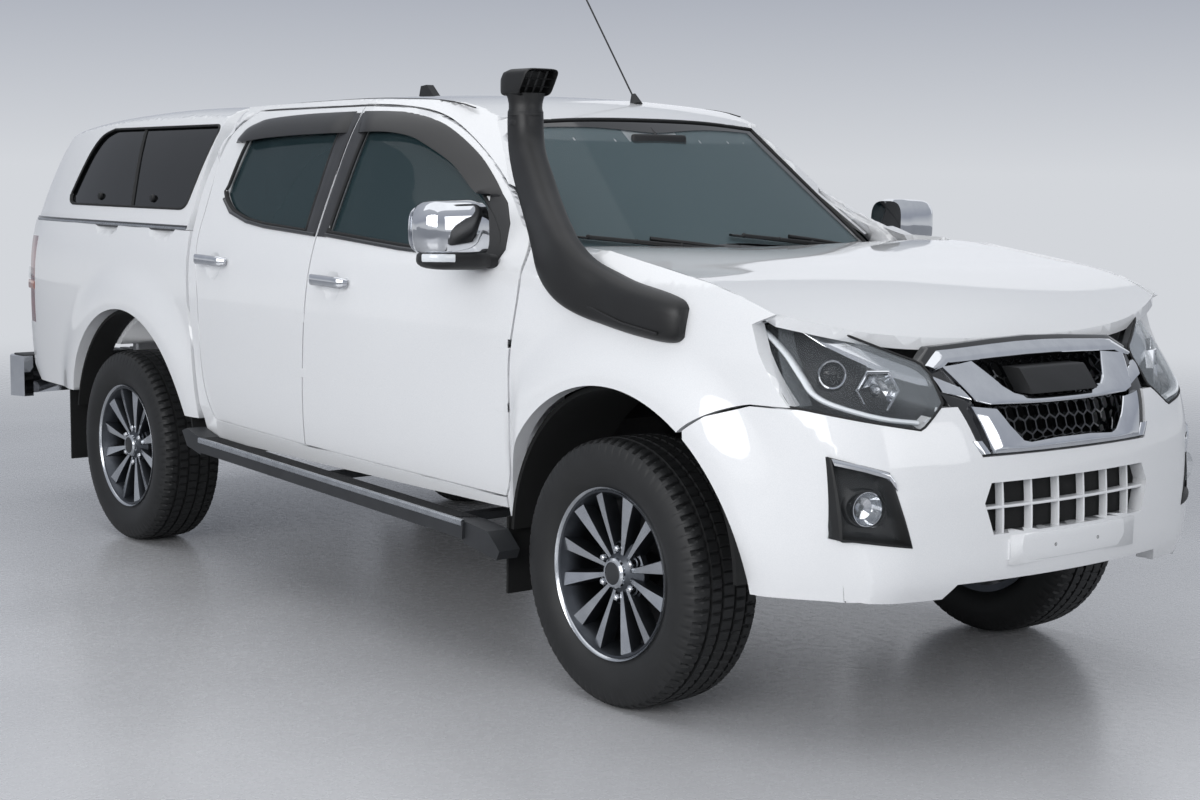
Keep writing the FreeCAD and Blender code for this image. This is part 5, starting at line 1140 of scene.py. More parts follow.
# Parts of the grille as pairs of (y, z) places on their two edges: the surround from the middle outwards, the
# bars from the lamp inwards, the tips beside them, and the bare plate from side to side.
GRILLE_SURROUND = (((0, 1064), (0, 1030)), ((150, 1060), (150, 1028)), ((381, 1047), (372, 1010)),
                   ((441, 1012), (368, 985)), ((436, 960), (352, 940)), ((420, 925), (330, 905)),
                   ((372, 815), (312, 822)), ((350, 774), (292, 778)))
GRILLE_BAR = [((425, 1003), (408, 992)), ((392, 1022), (376, 998)), ((362, 1038), (355, 1008)),
              ((156, 1048), (185, 1014)), ((60, 1051), (60, 1017))]
GRILLE_WING = [((384, 1000), (276, 1010)), ((357, 956), (243, 976)), ((330, 912), (216, 946)),
               ((290, 902), (186, 927)), ((180, 899), (120, 913)), ((76, 897), (60, 912))]
GRILLE_FRAME = [((352, 900), (268, 890)), ((332, 842), (236, 846)), ((310, 778), (196, 806)),
                ((230, 777), (170, 800)), ((80, 777), (70, 806))]
GRILLE_TIPS = ((((431, 981), (420, 938)), ((395, 965), (382, 928)), ((359, 949), (337, 914))),
               (((377, 813), (338, 812)), ((352, 778), (314, 778))))
BARE_PLATE = (((-138, 922), (-138, 988)), ((-70, 922), (-70, 989)), ((70, 922), (70, 989)),
              ((138, 922), (138, 988)))


def across_nose(pairs, side):
    return [((side * a[0], a[1]), (side * b[0], b[1])) for a, b in pairs]


def mirrored_pairs(pairs):
    # The pairs carried on to the other side of the nose.
    return pairs + across_nose(reversed(pairs), -1)


def make_grille():
    ring = across_nose(reversed(GRILLE_SURROUND[1:]), -1) + list(GRILLE_SURROUND)
    dress(ribbon("grille_surround", ring, on_nose, -8, 26, 0, 0.05), "gloss_black", node="grille")
    dress(honeycomb("grille_mesh", 380, 798, 960, 24, 3.0, -44), "gloss_black")
    pieces = [ribbon("bar", mirrored_pairs(GRILLE_BAR), on_nose, 4, 26, 5.0, 0.14),
              ribbon("wing", mirrored_pairs(GRILLE_WING), on_nose, 8, 34, 3.0, 0.08),
              ribbon("frame", mirrored_pairs(GRILLE_FRAME), on_nose, 6, 34, 3.0, 0.08)]
    for side in SIDES.values():
        for pairs in GRILLE_TIPS:
            pieces.append(ribbon("tip", across_nose(pairs, side), on_nose, 0, 18, 1.5, 0.12))
    dress(joined("grille_chrome", pieces), "chrome")
    dress(ribbon("bare_grille_plate", BARE_PLATE, on_nose, 22, 60, 0.5, 0.08), "trim")


PLATE_HOLE = ((0.1, -3), (4.5, -3), (4.5, 0.4), (3.4, 0.8), (3.0, -2), (0.1, -2))
FOG_CENTRE = (660, 650)
FOG_BOWL = ((43, 8), (45, 8), (45, 20), (43, 20), (40, 12), (28, -4), (8, -10), (8, -12), (30, -7), (42, 5))
FOG_LENS = ((0.1, 26), (20, 24), (34, 19), (42, 12), (41, 10), (33, 16), (20, 21), (0.1, 23))
FOG_OUTLINE = ((572, 550), (630, 748), (752, 786), (738, 572))
FOG_TRIM = (((748, 783), (744, 764)), ((690, 766), (688, 749)), ((634, 748), (632, 730)),
            ((626, 738), (614, 700)))
# The pod's dish: share of the way from its edge to the lamp, inset from the edge, and how far it stands out.
FOG_DISH = ((0.0, 2.0, -40), (0.0, 1.0, 1), (0.0, 7.0, 2), (0.0, 10.0, -6), (0.25, 10.0, -34), (0.6, 0, -44),
            (0.86, 0, -46), (0.93, 0, -38), (1.0, 0, -38), (1.0, 0, -62))


def fog_edge(angle, inset=0.0):
    # Where a ray from the lamp meets the pod's outline.
    c, s = math.cos(angle), math.sin(angle)
    best = 1e9
    for (ay, az), (by, bz) in zip(FOG_OUTLINE, FOG_OUTLINE[1:] + FOG_OUTLINE[:1]):
        ey, ez = by - ay, bz - az
        cross = c * ez - s * ey
        if abs(cross) < 1e-9:
            continue
        ry, rz = ay - FOG_CENTRE[0], az - FOG_CENTRE[1]
        t = (ry * ez - rz * ey) / cross
        k = (ry * s - rz * c) / cross
        if t > 0 and -1e-6 <= k <= 1 + 1e-6:
            best = min(best, t)
    return best - inset


def make_fog_pod(name):
    side = SIDES[name]
    corners = [math.atan2(z - FOG_CENTRE[1], y - FOG_CENTRE[0]) for y, z in FOG_OUTLINE]
    angles = sorted([2 * math.pi * i / 56 - math.pi for i in range(56)] + corners)
    rows = []
    for angle in angles:
        edge = fog_edge(angle)
        row = []
        for share, inset, out in FOG_DISH:
            r = (edge - inset) * (1 - share) + 44 * share
            y, z = FOG_CENTRE[0] + r * math.cos(angle), FOG_CENTRE[1] + r * math.sin(angle)
            row.append(sided((front_x(y, z) + out, y, z), side))
        rows.append(row)
    pod = skinned("fog_pod_" + name, rows, True, False, 30)
    dress(thickened(pod, 2.0), "trim")
    centre = sided((front_x(*FOG_CENTRE) - 52, FOG_CENTRE[0], FOG_CENTRE[1]), side)
    ahead = (1.0, side * 0.22, 0.02)
    dress(turned_piece("fog_reflector_" + name, FOG_BOWL, centre, ahead, 40), "chrome")
    dress(turned_piece("fog_lens_" + name, FOG_LENS, centre, ahead, 40), "clear_lens")
    trim = ribbon("fog_trim_" + name, FOG_TRIM, lambda p, d: sided(on_nose(p, d), side), 4, 14, 2.5, 0.15)
    dress(trim, "chrome")


def make_bumper_grid():
    bar = [((y, 630), (y, 638)) for y in (-352, -200, 0, 200, 352)]
    pieces = [ribbon("bar", bar, on_nose, -14, 28, 0.5, 0.2)]
    for y in (-265, -160, -54, 54, 160, 265):
        post = [((y - 3.5, z), (y + 3.5, z)) for z in (560, 634, 706)]
        pieces.append(ribbon("post", post, on_nose, -16, 24, 0.5, 0.2))
    dress(joined("bumper_grid", pieces), "paint")
    rows = [[on_nose((y, z), -46) for z in (548, 600, 660, 716)] for y in range(-360, 361, 60)]
    back = skinned("bumper_mouth_back", rows)
    dress(thickened(back, 3.0, 0.0), "liner")
    pad = [((y, 484 + 10 * max(0.0, abs(y) - 240) / 24), (y, 558 - 10 * max(0.0, abs(y) - 240) / 24))
           for y in (-264, -258, -240, -120, 0, 120, 240, 258, 264)]
    dress(ribbon("number_plate_pad", pad, on_nose, 6, 16, 0.5, 0.05), "paint")
    for y in (-90, 90):
        hole = lathe("plate_hole_%d" % (y + 90), PLATE_HOLE, (front_x(y, 520) + 6.6, y, 520), 20, "X")
        dress(hole, "rubber")


class PICKUP_OT_nose(bpy.types.Operator):
    """Grille, bumper grid and fog lamp pods"""

    bl_idname = "pickup.nose"
    bl_label = "Grille and bumper"

    def execute(self, context):
        make_grille()
        make_bumper_grid()
        for name in SIDES:
            make_fog_pod(name)
        return {"FINISHED"}


# Flanks
# The doors' windows in (x, z) places: the glass outline in parts, the edges of the belt moulding and of the
# black pillar band in pairs, and the top and foot of the weather shield.
WINDOWS = {
    "front": dict(
        outline=([(160, 1284), (610, 1256), (1120, 1236)],
                 [(1120, 1236), (1090, 1296), (908, 1404), (715, 1520), (530, 1606), (378, 1646), (250, 1657),
                  (172, 1660)], [(172, 1660), (160, 1284)]),
        belt=[((150, 1268), (150, 1282)), ((610, 1240), (610, 1254)), ((1000, 1226), (1000, 1239)),
              ((1130, 1220), (1130, 1234))],
        band=[((101, 1268), (160, 1266)), ((101, 1420), (162, 1420)), ((102, 1560), (167, 1560)),
              ((103, 1688), (170, 1688))],
        top=[(112, 1694), (260, 1692), (384, 1682), (551, 1643), (747, 1556), (880, 1478), (985, 1410)],
        foot=[(135, 1620), (300, 1622), (430, 1608), (520, 1582), (690, 1518), (825, 1446), (895, 1418)]),
    "rear": dict(
        outline=([(14, 1284), (8, 1662)], [(8, 1662), (-560, 1656)],
                 [(-560, 1656), (-625, 1600), (-650, 1440), (-650, 1400), (-560, 1345), (-420, 1312),
                  (-278, 1298)], [(-278, 1298), (14, 1284)]),
        belt=[((86, 1266), (86, 1280)), ((-278, 1283), (-278, 1297)), ((-420, 1297), (-418, 1311)),
              ((-565, 1328), (-557, 1342)), ((-650, 1378), (-640, 1386))],
        band=[((22, 1270), (90, 1266)), ((20, 1420), (91, 1420)), ((15, 1560), (92, 1560)),
              ((14, 1688), (93, 1688))],
        top=[(-706, 1588), (-672, 1638), (-600, 1664), (-513, 1678), (-250, 1690), (60, 1694)],
        foot=[(-650, 1588), (-590, 1594), (-520, 1600), (-430, 1606), (-225, 1614), (72, 1620)]),
}
# The weather shield's section: share of its height from the top, and how far it stands out.
SHIELD_SECTION = ((0.0, 2), (0.03, 5), (0.2, 14), (0.5, 21), (0.85, 24), (1.0, 24))
SHIELD_STEPS = 36


def window_loop(parts, side, out):
    loop = []
    for part in parts:
        run = curve_through(part, 10 * (len(part) - 1)) if len(part) > 3 else along(part, 14)
        loop += run[:-1]
    return [on_side(side, x, z, out) for x, z in loop]


def make_window_trims(end, name):
    side, window = SIDES[name], WINDOWS[end]
    body = door_body(end, name)
    tag = "%s_%s" % (end, name)
    loop = window_loop(window["outline"], side, -4)
    seal = sweep("window_seal_" + tag, loop, ring_profile(9, 6, 10, 0.7), closed=True)
    dress(seal, "rubber", body)
    belt = ribbon("belt_moulding_" + tag, window["belt"], beside(side), 6, 9, 1.5, 0.3)
    dress(belt, "gloss_black", body)
    band = ribbon("pillar_band_" + tag, window["band"], beside(side), 2.2, 5, 0.4, 0.04)
    dress(band, "pillar_film", body)
    tops, feet = curve_through(window["top"], SHIELD_STEPS), curve_through(window["foot"], SHIELD_STEPS)
    rows = []
    for i in range(SHIELD_STEPS + 1):
        closing = min(1.0, min(i, SHIELD_STEPS - i) / 2.5)
        row = []
        for t, out in SHIELD_SECTION:
            x, z = tops[i][0] * (1 - t) + feet[i][0] * t, tops[i][1] * (1 - t) + feet[i][1] * t
            row.append(on_side(side, x, z, 2 + (out - 2) * closing))
        rows.append(row)
    dress(thickened(skinned("weather_shield_" + tag, rows, sharp=60), 2.6), "smoke", body)


HANDLES = {"front": (259, 1125), "rear": (-594, 1158)}
HANDLE_HALF = 108


def make_handle(end, name):
    side = SIDES[name]
    body = door_body(end, name)
    x, z = HANDLES[end]
    path, sizes = [], []
    for i in range(25):
        t = i / 24.0 * 2 - 1
        lift = 34 - 26 * max(0.0, abs(t) - 0.72) ** 1.4 / 0.28 ** 1.4
        path.append(on_side(side, x + HANDLE_HALF * t, z - 2 * t, lift))
        narrow = max(0.0, abs(i / 12.0 - 1) - 0.86) / 0.14
        sizes.append((1.0 - 0.55 * narrow, 1.0 - 0.4 * narrow))
    bar = sweep("door_handle_%s_%s" % (end, name), path, ring_profile(10, 19, 16, 0.72), scale=sizes)
    dress(bar, "chrome", body)
    feet = []
    for t in (-0.8, 0.8):
        a = on_side(side, x + HANDLE_HALF * t, z - 2 * t, -6)
        b = on_side(side, x + (HANDLE_HALF - 4) * t, z - 2 * t, 26)
        feet.append(sweep("foot", [a, b], ring_profile(15, 12, 14, 0.75), up=(1, 0, 0)))
    dress(joined("handle_feet_%s_%s" % (end, name), feet), "chrome", body)


def make_pillar_gap_shade(name):
    # A dark rubber strip set deep in the gap between the front and rear doors: painted shade of the door gap.
    side = SIDES[name]
    line = [((94.3, 1268), (97.3, 1268)), ((94.6, 1420), (97.6, 1420)), ((95.4, 1560), (98.4, 1560)),
            ((96.4, 1690), (99.4, 1690))]
    seal = ribbon("pillar_gap_shade_strip_" + name, line, beside(side), -7, 40, 0.4, 0.3)
    dress(seal, "rubber")


HINGE_HEIGHTS = (790, 980)


def make_hinge_covers(name):
    # The door's skin carried over the slots of its hinges.
    side = SIDES[name]
    for end, x0, x1 in (("front", 1180, 1253), ("rear", 14, 88)):
        pieces = []
        for z in HINGE_HEIGHTS:
            cover = [((x, z - 6), (x, z + 26)) for x in (x0, x1)]
            pieces.append(ribbon("cover", cover, beside(side), 0.3, 3, 0.0, 0.02))
        dress(joined("hinge_covers_%s_%s" % (end, name), pieces), "paint", door_body(end, name))


STEP_EDGE_Y = 957


def step_top(x):
    return 444 + (1124 - x) * 56.0 / 1720.0


def make_step_dress(name):
    # Ridged tread along the deck and the bright strip on its outer edge.
    side = SIDES[name]
    ridges = []
    for k in range(7):
        y = side * (886 + 9 * k)
        line = [(1090 - 6 * k, y, step_top(1090) + 1), (-574, y, step_top(-574) + 1)]
        ridges.append(sweep("ridge", line, [(-2.4, -3), (2.4, -3), (1.6, 3), (-1.6, 3)]))
    dress(joined("step_tread_" + name, ridges), "trim")
    edge = [(x, side * STEP_EDGE_Y, step_top(x) - 4) for x in (1118, 300, -590)]
    profile = [(side * a, b) for a, b in ((-5, -10), (5, -10), (7, -8), (7, 6), (3, 10), (-5, 10))]
    dress(sweep("step_strip_" + name, edge, profile), "satin_silver")


class PICKUP_OT_flanks(bpy.types.Operator):
    """Window seals, black pillars, belt mouldings, weather shields and door handles"""

    bl_idname = "pickup.flanks"
    bl_label = "Door trims"

    def execute(self, context):
        for name in SIDES:
            for end in ENDS:
                make_window_trims(end, name)
                make_handle(end, name)
            make_pillar_gap_shade(name)
            make_hinge_covers(name)
            make_step_dress(name)
        return {"FINISHED"}


# Mirrors and snorkel
MIRROR_GLASS = (1004, 990, 1320)
MIRROR_BACK_X = 1008
MIRROR_STEPS = 16
INDICATOR_LINE = ((1158, 1016, 1240), (1150, 1052, 1241), (1130, 1078, 1241), (1096, 1087, 1240))
MIRROR_SAIL = (((1142, 1212), (986, 1216)), ((1148, 1262), (972, 1290)), ((1088, 1338), (946, 1372)),
               ((1010, 1398), (924, 1405)), ((962, 1424), (916, 1418)))
MIRROR_ARM = ((1112, 880, 1228), (1096, 915, 1230), (1090, 950, 1232))


def make_mirror(name):
    side = SIDES[name]
    body = door_body("front", name)
    stations = [i / MIRROR_STEPS for i in range(MIRROR_STEPS + 1)]
    sizes = []
    for t in stations:
        deep = math.sqrt(max(0.04, 1 - max(0.0, (t - 0.62) / 0.385) ** 2.4))
        high = math.sqrt(max(0.06, 1 - max(0.0, (t - 0.66) / 0.35) ** 2.6))
        sizes.append(((0.86 + 0.14 * smooth(t / 0.25)) * deep, (0.9 + 0.1 * smooth(t / 0.2)) * high))
    path = [(1083 - 18 * t * t, side * (890 + 206 * t), 1324 - 6 * t) for t in stations]
    shell = sweep("mirror_shell_" + name, path, ring_profile(84, 88, 30, 0.58), scale=sizes)
    for vertex in shell.data.vertices:
        # The rear face is flat for the glass; the front is swept back towards the tip.
        past = MIRROR_BACK_X - vertex.co.x / MM
        if past > 0:
            vertex.co.x = (MIRROR_BACK_X - 0.12 * past) * MM
    dress(shell, "chrome", body, "mirror_" + name)
    path = [(1088 - 8 * t, side * (880 + 204 * t), 1230 + 5 * t) for t in stations]
    dress(sweep("mirror_base_" + name, path, ring_profile(78, 30, 24, 0.66), scale=sizes), "trim", body)
    path = [sided(p, side) for p in curve_through(INDICATOR_LINE, 16)]
    dress(sweep("mirror_indicator_" + name, path, ring_profile(5, 12, 12, 0.7)), "light_guide", body)
    x, y, z = MIRROR_GLASS
    rim = [(x, side * y + 86 * a, z + 74 * b) for a, b in ring_profile(1, 1, 28, 0.6)]
    dress(prism("mirror_glass_" + name, rim, 4, (-1, 0, 0), 0.8), "chrome", body)
    dress(ribbon("mirror_sail_" + name, MIRROR_SAIL, beside(side), 5, 10, 1.0, 0.06), "trim", body)
    path = [sided(p, side) for p in curve_through((on_side(1, 1120, 1226, -2),) + MIRROR_ARM, 14)]
    dress(sweep("mirror_arm_" + name, path, ring_profile(40, 22, 20, 0.7)), "trim", body)


STEM_X = 1132
STEM_Y = -742
NECK_Z = 1660
HEAD_Z = 1759
HEAD_RAKE = 0.6

# The snorkel's way: (x, z) places on the fender, then places up the windscreen pillar, and along it its
# half width and thickness.
SNORKEL_FOOT = ((2016, 1102), (1975, 1106), (1900, 1116), (1800, 1130), (1700, 1150))
SNORKEL_RISE = [(1610, -880, 1176), (1540, -883, 1208), (1478, -876, 1250), (1424, -858, 1298),
                (1366, -834, 1346), (1304, -808, 1396), (1244, -785, 1452), (1194, -768, 1506),
                (1154, -752, 1560), (1136, -744, 1612), (STEM_X, STEM_Y, 1662)]
SNORKEL_WIDE = ((0, 38), (3, 54), (8, 64), (20, 72), (30, 82), (38, 90), (44, 86), (50, 76), (58, 68),
                (68, 63), (80, 55), (90, 50))
SNORKEL_THICK = ((0, 26), (3, 38), (8, 46), (20, 48), (50, 48), (72, 47), (90, 50))
SNORKEL_STEPS = 90
SNORKEL_RIB = (((1640, 1126), (1650, 1134)), ((1800, 1086), (1806, 1094)), ((1950, 1066), (1954, 1074)))
SNORKEL_NECK = ((46, -30), (52, -26), (52, -14), (50, -11), (50, -3), (52, 0), (52.5, 16), (50.5, 22),
                (51, 38), (54, 52), (60, 68), (50, 68), (44, -10))
NECK_BAND = ((50, -7), (54, -6), (54, 6), (50, 7))
# The head from its back to inside its mouth: x, and shares of its width and height.
SNORKEL_HEAD = ((1072, 0.62, 0.3), (1074, 0.78, 0.5), (1081, 0.9, 0.74), (1096, 0.98, 0.92), (1120, 1, 1),
                (1165, 1, 1), (1190, 1, 1), (1196, 0.985, 0.975), (1198, 0.95, 0.93), (1193, 0.92, 0.87),
                (1170, 0.9, 0.84), (1150, 0.88, 0.82))
HEAD_BACK_ROWS = 5


def make_snorkel_body():
    side = SIDES["right"]
    path = curve_through([on_side(side, x, z, 2) for x, z in SNORKEL_FOOT] + SNORKEL_RISE, SNORKEL_STEPS)
    sizes = [(blend(SNORKEL_WIDE, i) / 50.0, blend(SNORKEL_THICK, i) / 50.0) for i in range(len(path))]
    body = sweep("snorkel_body", path, ring_profile(50, 50, 32, 0.74), up=(0, -1, 0), scale=sizes)
    for vertex in body.data.vertices:
        # Against the fender the moulding is flat, and it lies just inside the skin.
        x, y, z = vertex.co / MM
        if x > 1440 and -y < side_y(x, z) - 6:
            vertex.co.y = -(side_y(x, z) - 6) * MM
    dress(body, "satin_plastic", node="snorkel")
    dress(ribbon("snorkel_rib", SNORKEL_RIB, beside(side), 46, 14, 0.5, 0.2), "satin_plastic")


def make_snorkel_head():
    # A collar on the stem, and a head with a rounded back over it and a raked open mouth.
    dress(lathe("snorkel_neck", SNORKEL_NECK, (STEM_X, STEM_Y, NECK_Z), 40, "Z"), "satin_plastic")
    dress(lathe("snorkel_band", NECK_BAND, (STEM_X, STEM_Y, NECK_Z + 8), 40, "Z"), "trim")
    ring = ring_profile(63, 41, 36, 0.36)
    rows = []
    for k, (x, a, b) in enumerate(SNORKEL_HEAD):
        drop = 34 * (1 - b) if k < HEAD_BACK_ROWS else 0.0
        rows.append([(x + HEAD_RAKE * z * smooth((x - 1105) / 70.0), STEM_Y + y * a, HEAD_Z + z * b - drop)
                     for y, z in ring])
    dress(skinned("snorkel_head", rows, False, True, 40, True), "satin_plastic")
    ends = [[(1184 + HEAD_RAKE * z, STEM_Y + y, HEAD_Z + z) for z in (-33, 33)] for y in (-28, 0, 28)]
    ends += [[(1185 + HEAD_RAKE * z, STEM_Y + y, HEAD_Z + z) for y in (-56, 56)] for z in (-12, 11)]
    bars = [sweep("bar", pair, ring_profile(4, 1.6, 8)) for pair in ends]
    dress(joined("snorkel_mouth_bars", bars), "rubber")


class PICKUP_OT_fittings(bpy.types.Operator):
    """Chrome door mirrors and the snorkel"""

    bl_idname = "pickup.fittings"
    bl_label = "Mirrors and snorkel"

    def execute(self, context):
        for name in SIDES:
            make_mirror(name)
        make_snorkel_body()
        make_snorkel_head()
        return {"FINISHED"}


# Canopy and tail
CANOPY_WINDOW = ([(-1985, 1336), (-2020, 1346), (-2038, 1368), (-2040, 1380)],
                 [(-2040, 1380), (-2004, 1470), (-1960, 1560), (-1900, 1620), (-1810, 1648)],
                 [(-1810, 1648), (-900, 1656)], [(-900, 1656), (-880, 1649), (-872, 1634), (-876, 1610)],
                 [(-876, 1610), (-922, 1376)], [(-922, 1376), (-932, 1352), (-955, 1339), (-985, 1336)],
                 [(-985, 1336), (-1985, 1336)])
HATCH = ([(-640, 1292), (-650, 1330), (-640, 1460), (-560, 1622)],
         [(-560, 1622), (-300, 1650), (0, 1658), (300, 1650), (560, 1622)],
         [(560, 1622), (640, 1460), (650, 1330), (640, 1292)], [(640, 1292), (-640, 1292)])
LOCK_KNOB = ((0.1, 0), (15, 0), (16, 5), (13, 12), (6, 14), (0.1, 14))
RAIL_STOPS = (-2384, -2250, -2000, -1600, -1200, -872)
CANOPY_BACK = ((1258, -2394), (1300, -2390), (1440, -2360), (1590, -2290), (1680, -2215), (1740, -2170))


def on_canopy(side, x, z, out):
    return (x, side * (canopy_half(x, z) + out), z)


def closed_loop(parts, step=10):
    loop = []
    for part in parts:
        loop += (curve_through(part, step * (len(part) - 1)) if len(part) > 2 else along(part, 2 * step))[:-1]
    return loop


def make_canopy_trims(name):
    side = SIDES[name]
    loop = closed_loop(CANOPY_WINDOW)
    seal = sweep("canopy_window_seal_" + name, [on_canopy(side, x, z, -3) for x, z in loop],
                 ring_profile(8, 5, 10, 0.7), closed=True)
    dress(seal, "rubber")
    divide = [on_canopy(side, -1404 - 0.36 * (z - 1340), z, -7) for z in range(1340, 1651, 31)]
    split = sweep("canopy_window_divider_" + name, divide, ring_profile(7, 4, 8, 0.7))
    dress(split, "rubber")
    knobs = []
    for x in (-1240, -1730):
        spot = on_canopy(side, x, 1372, -10)
        knobs.append(lathe("knob", [(r, side * out) for r, out in LOCK_KNOB], spot, 24, closed=False))
    dress(joined("canopy_locks_" + name, knobs), "trim")

    def on_rail(p, out):
        x, z = p
        return (x, side * (max(canopy_half(x, 1266), side_y(x, 1256) - 6) + out), z)

    dark = [((x, 1250), (x, 1276)) for x in RAIL_STOPS]
    dress(ribbon("canopy_rail_" + name, dark, on_rail, 2, 12, 0.5, 0.1), "gloss_black")
    bright = [((x, 1258), (x, 1268)) for x in RAIL_STOPS]
    dress(ribbon("canopy_rail_strip_" + name, bright, on_rail, 5.5, 6, 0.8, 0.2), "satin_silver")


def on_hatch(p, out):
    y, z = p
    return (blend(CANOPY_BACK, z) - out, y, z)


def make_tail(name):
    side = SIDES[name]
    # Clear and amber bands across the red lamp.
    for z0, z1, finish, tag in ((1000, 1052, "clear_lens", "reverse"), (958, 996, "amber_lens", "turn")):
        band = [((x, z0), (x, z1)) for x in (-2414, -2370, -2330, -2292)]
        dress(ribbon("tail_lamp_%s_%s" % (tag, name), band, beside(side), 1.5, 4, 0.5, 0.1), finish)


def make_rear_end():
    loop = [on_hatch(p, -2) for p in closed_loop(HATCH)]
    seal = sweep("hatch_seal", loop, ring_profile(8, 7, 10, 0.7), closed=True)
    dress(seal, "rubber", "canopy_hatch")
    locks = []
    for y in (-430, 430):
        locks.append(ribbon("lock", [((y - 52, 1322), (y - 52, 1350)), ((y, 1320), (y, 1352)),
                                     ((y + 52, 1322), (y + 52, 1350))], on_hatch, 22, 24, 3, 0.2))
    dress(joined("hatch_handles", locks), "trim", "canopy_hatch")
    handle = block("tailgate_handle", -2423, -2404, -104, 104, 1126, 1174, 6)
    dress(handle, "chrome", "tailgate_body")
    tread = []
    for k in range(-9, 10):
        tread.append(block("rib", -2640 + 1.2 * abs(k) ** 1.6, -2490, k * 52 - 17, k * 52 + 17, 632, 654, 4))
    dress(joined("rear_step_tread", tread), "trim")
    for name in SIDES:
        side = SIDES[name]
        cap = block("rear_step_pad_" + name, -2596, -2470, side * 640, side * 850, 640, 655, 5)
        dress(cap, "trim")


class PICKUP_OT_tail(bpy.types.Operator):
    """Canopy window seals, rails and locks, rear door, lamps and step"""

    bl_idname = "pickup.tail"
    bl_label = "Canopy and tail"

    def execute(self, context):
        for name in SIDES:
            make_canopy_trims(name)
            make_tail(name)
        make_rear_end()
        return {"FINISHED"}


# Cab inside and top
SCREEN_EDGE = ([(-690, 1256), (-622, 1400), (-556, 1560), (-522, 1650)],
               [(-522, 1650), (-270, 1666), (0, 1670), (270, 1666), (522, 1650)],
               [(522, 1650), (556, 1560), (622, 1400), (690, 1256)],
               [(690, 1256), (400, 1236), (0, 1230), (-400, 1236), (-690, 1256)])

WIPER_PIVOT = ((0.1, -20), (17, -20), (17, 2), (13, 9), (0.1, 11))
WIPER_BLADE = ((-3, -8), (3, -8), (4, 0), (2, 9), (-2, 9), (-4, 0))


def on_screen(p, out):
    y, z = p
    return (wind_x(y, z) + out, y, z)


def make_screen_trims():
    loop = closed_loop(SCREEN_EDGE, 8)
    centre = Vector((0, 1470))
    pairs = []
    for y, z in loop + loop[:1]:
        pull = (centre - Vector((y, z))).normalized()
        pairs.append(((y, z), (y + pull.x * 44, z + pull.y * 44)))
    frit = ribbon("windscreen_border", pairs, on_screen, -4.5, 1.2, 0.2, 0.03, steps=2)
    dress(frit, "gloss_black")
    seal = sweep("windscreen_seal", [on_screen(p, -4) for p in loop], ring_profile(7, 6, 8), closed=True)
    dress(seal, "rubber")
    arms = []
    for y in (520, -60):
        hub = (wind_x(y, 1240) + 24, y, 1240)
        low = [on_screen((y - 40, 1262), 22), on_screen((y - 150, 1276), 24), on_screen((y - 290, 1292), 22)]
        arms.append(sweep("arm", [hub] + low, ring_profile(7, 5, 10), up=(1, 0, 0)))
        arms.append(lathe("pivot", WIPER_PIVOT, hub, 24, "Z", closed=False))
        blade = [on_screen((y - 60 - 30 * k, 1252 + 3.0 * k), 10) for k in range(17)]
        arms.append(sweep("blade", blade, WIPER_BLADE, up=(1, 0, 0)))
    dress(joined("wipers", arms), "satin_plastic")
    for name in SIDES:
        side = SIDES[name]
        line = [(x, side * 583, roof_z(x, 583) - 0.5) for x in range(-740, 681, 60)]
        dress(sweep("roof_strip_" + name, line, ring_profile(6, 2, 8)), "rubber")

    def on_canopy_top(p, out):
        y, x = p
        return (x, y, 1748 - 0.00008 * y ** 2 + out)

    front = [((y, -905), (y, -868)) for y in range(-560, 561, 80)]
    dress(ribbon("canopy_front_strip", front, on_canopy_top, 3, 8, 1, 0.1), "gloss_black")


def cushion(name, x0, x1, y0, y1, z0, z1, lean=0.0, crown=14.0, flutes=0, round_edge=26.0):
    # A stuffed shape with rounded sides, a crowned face and sewn flutes.
    cx, cy, cz = (x0 + x1) / 2, (y0 + y1) / 2, (z0 + z1) / 2
    hx, hy, hz = abs(x1 - x0) / 2, abs(y1 - y0) / 2, abs(z1 - z0) / 2
    points, faces = [], []

    def bulge(p):
        # Pushes a box's place out to a rounded, crowned and fluted skin.
        a, b, c = p
        r = min(round_edge, hx, hy, hz)
        core = (max(-hx + r, min(hx - r, a)), max(-hy + r, min(hy - r, b)), max(-hz + r, min(hz - r, c)))
        way = Vector((a - core[0], b - core[1], c - core[2]))
        if way.length > 1e-6:
            way = way.normalized() * r
        q = Vector(core) + way
        soft = (1 - (q.y / hy) ** 4) * (1 - ((q.z / hz) if lean else (q.x / hx)) ** 4)
        dip = 0.0
        if flutes and abs(q.y) < hy * 0.62:
            dip = 5.0 * math.exp(-((((q.y / hy * flutes) % 2.0) - 1.0) / 0.16) ** 2)
        seam = 6.0 * math.exp(-((abs(q.y) - hy * 0.66) / 7.0) ** 2)
        if lean:
            front = smooth((q.x / hx + 1) / 2)
            q.x += (crown * soft - (dip + seam) * soft) * front
        else:
            top = smooth((q.z / hz + 1) / 2)
            q.z += (crown * soft - (dip + seam) * soft) * top
        return q

    def sheet(origin, u, v, nu, nv):
        base = len(points)
        faces.extend(tuple(base + n for n in face) for face in grid_faces(nu + 1, nv + 1))
        for i in range(nu + 1):
            for j in range(nv + 1):
                points.append(bulge(Vector(origin) + Vector(u) * (i / nu) + Vector(v) * (j / nv)))

    for s in (-1, 1):
        sheet((s * hx, -hy, -hz), (0, 2 * hy, 0), (0, 0, 2 * hz), 40, 14)
        sheet((-hx, s * hy, -hz), (2 * hx, 0, 0), (0, 0, 2 * hz), 14, 14)
        sheet((-hx, -hy, s * hz), (2 * hx, 0, 0), (0, 2 * hy, 0), 14, 40)
    moved = [(p.x + cx - lean * (p.z + hz) / 100.0, p.y + cy, p.z + cz) for p in points]
    return new_piece(name, moved, faces, 60)


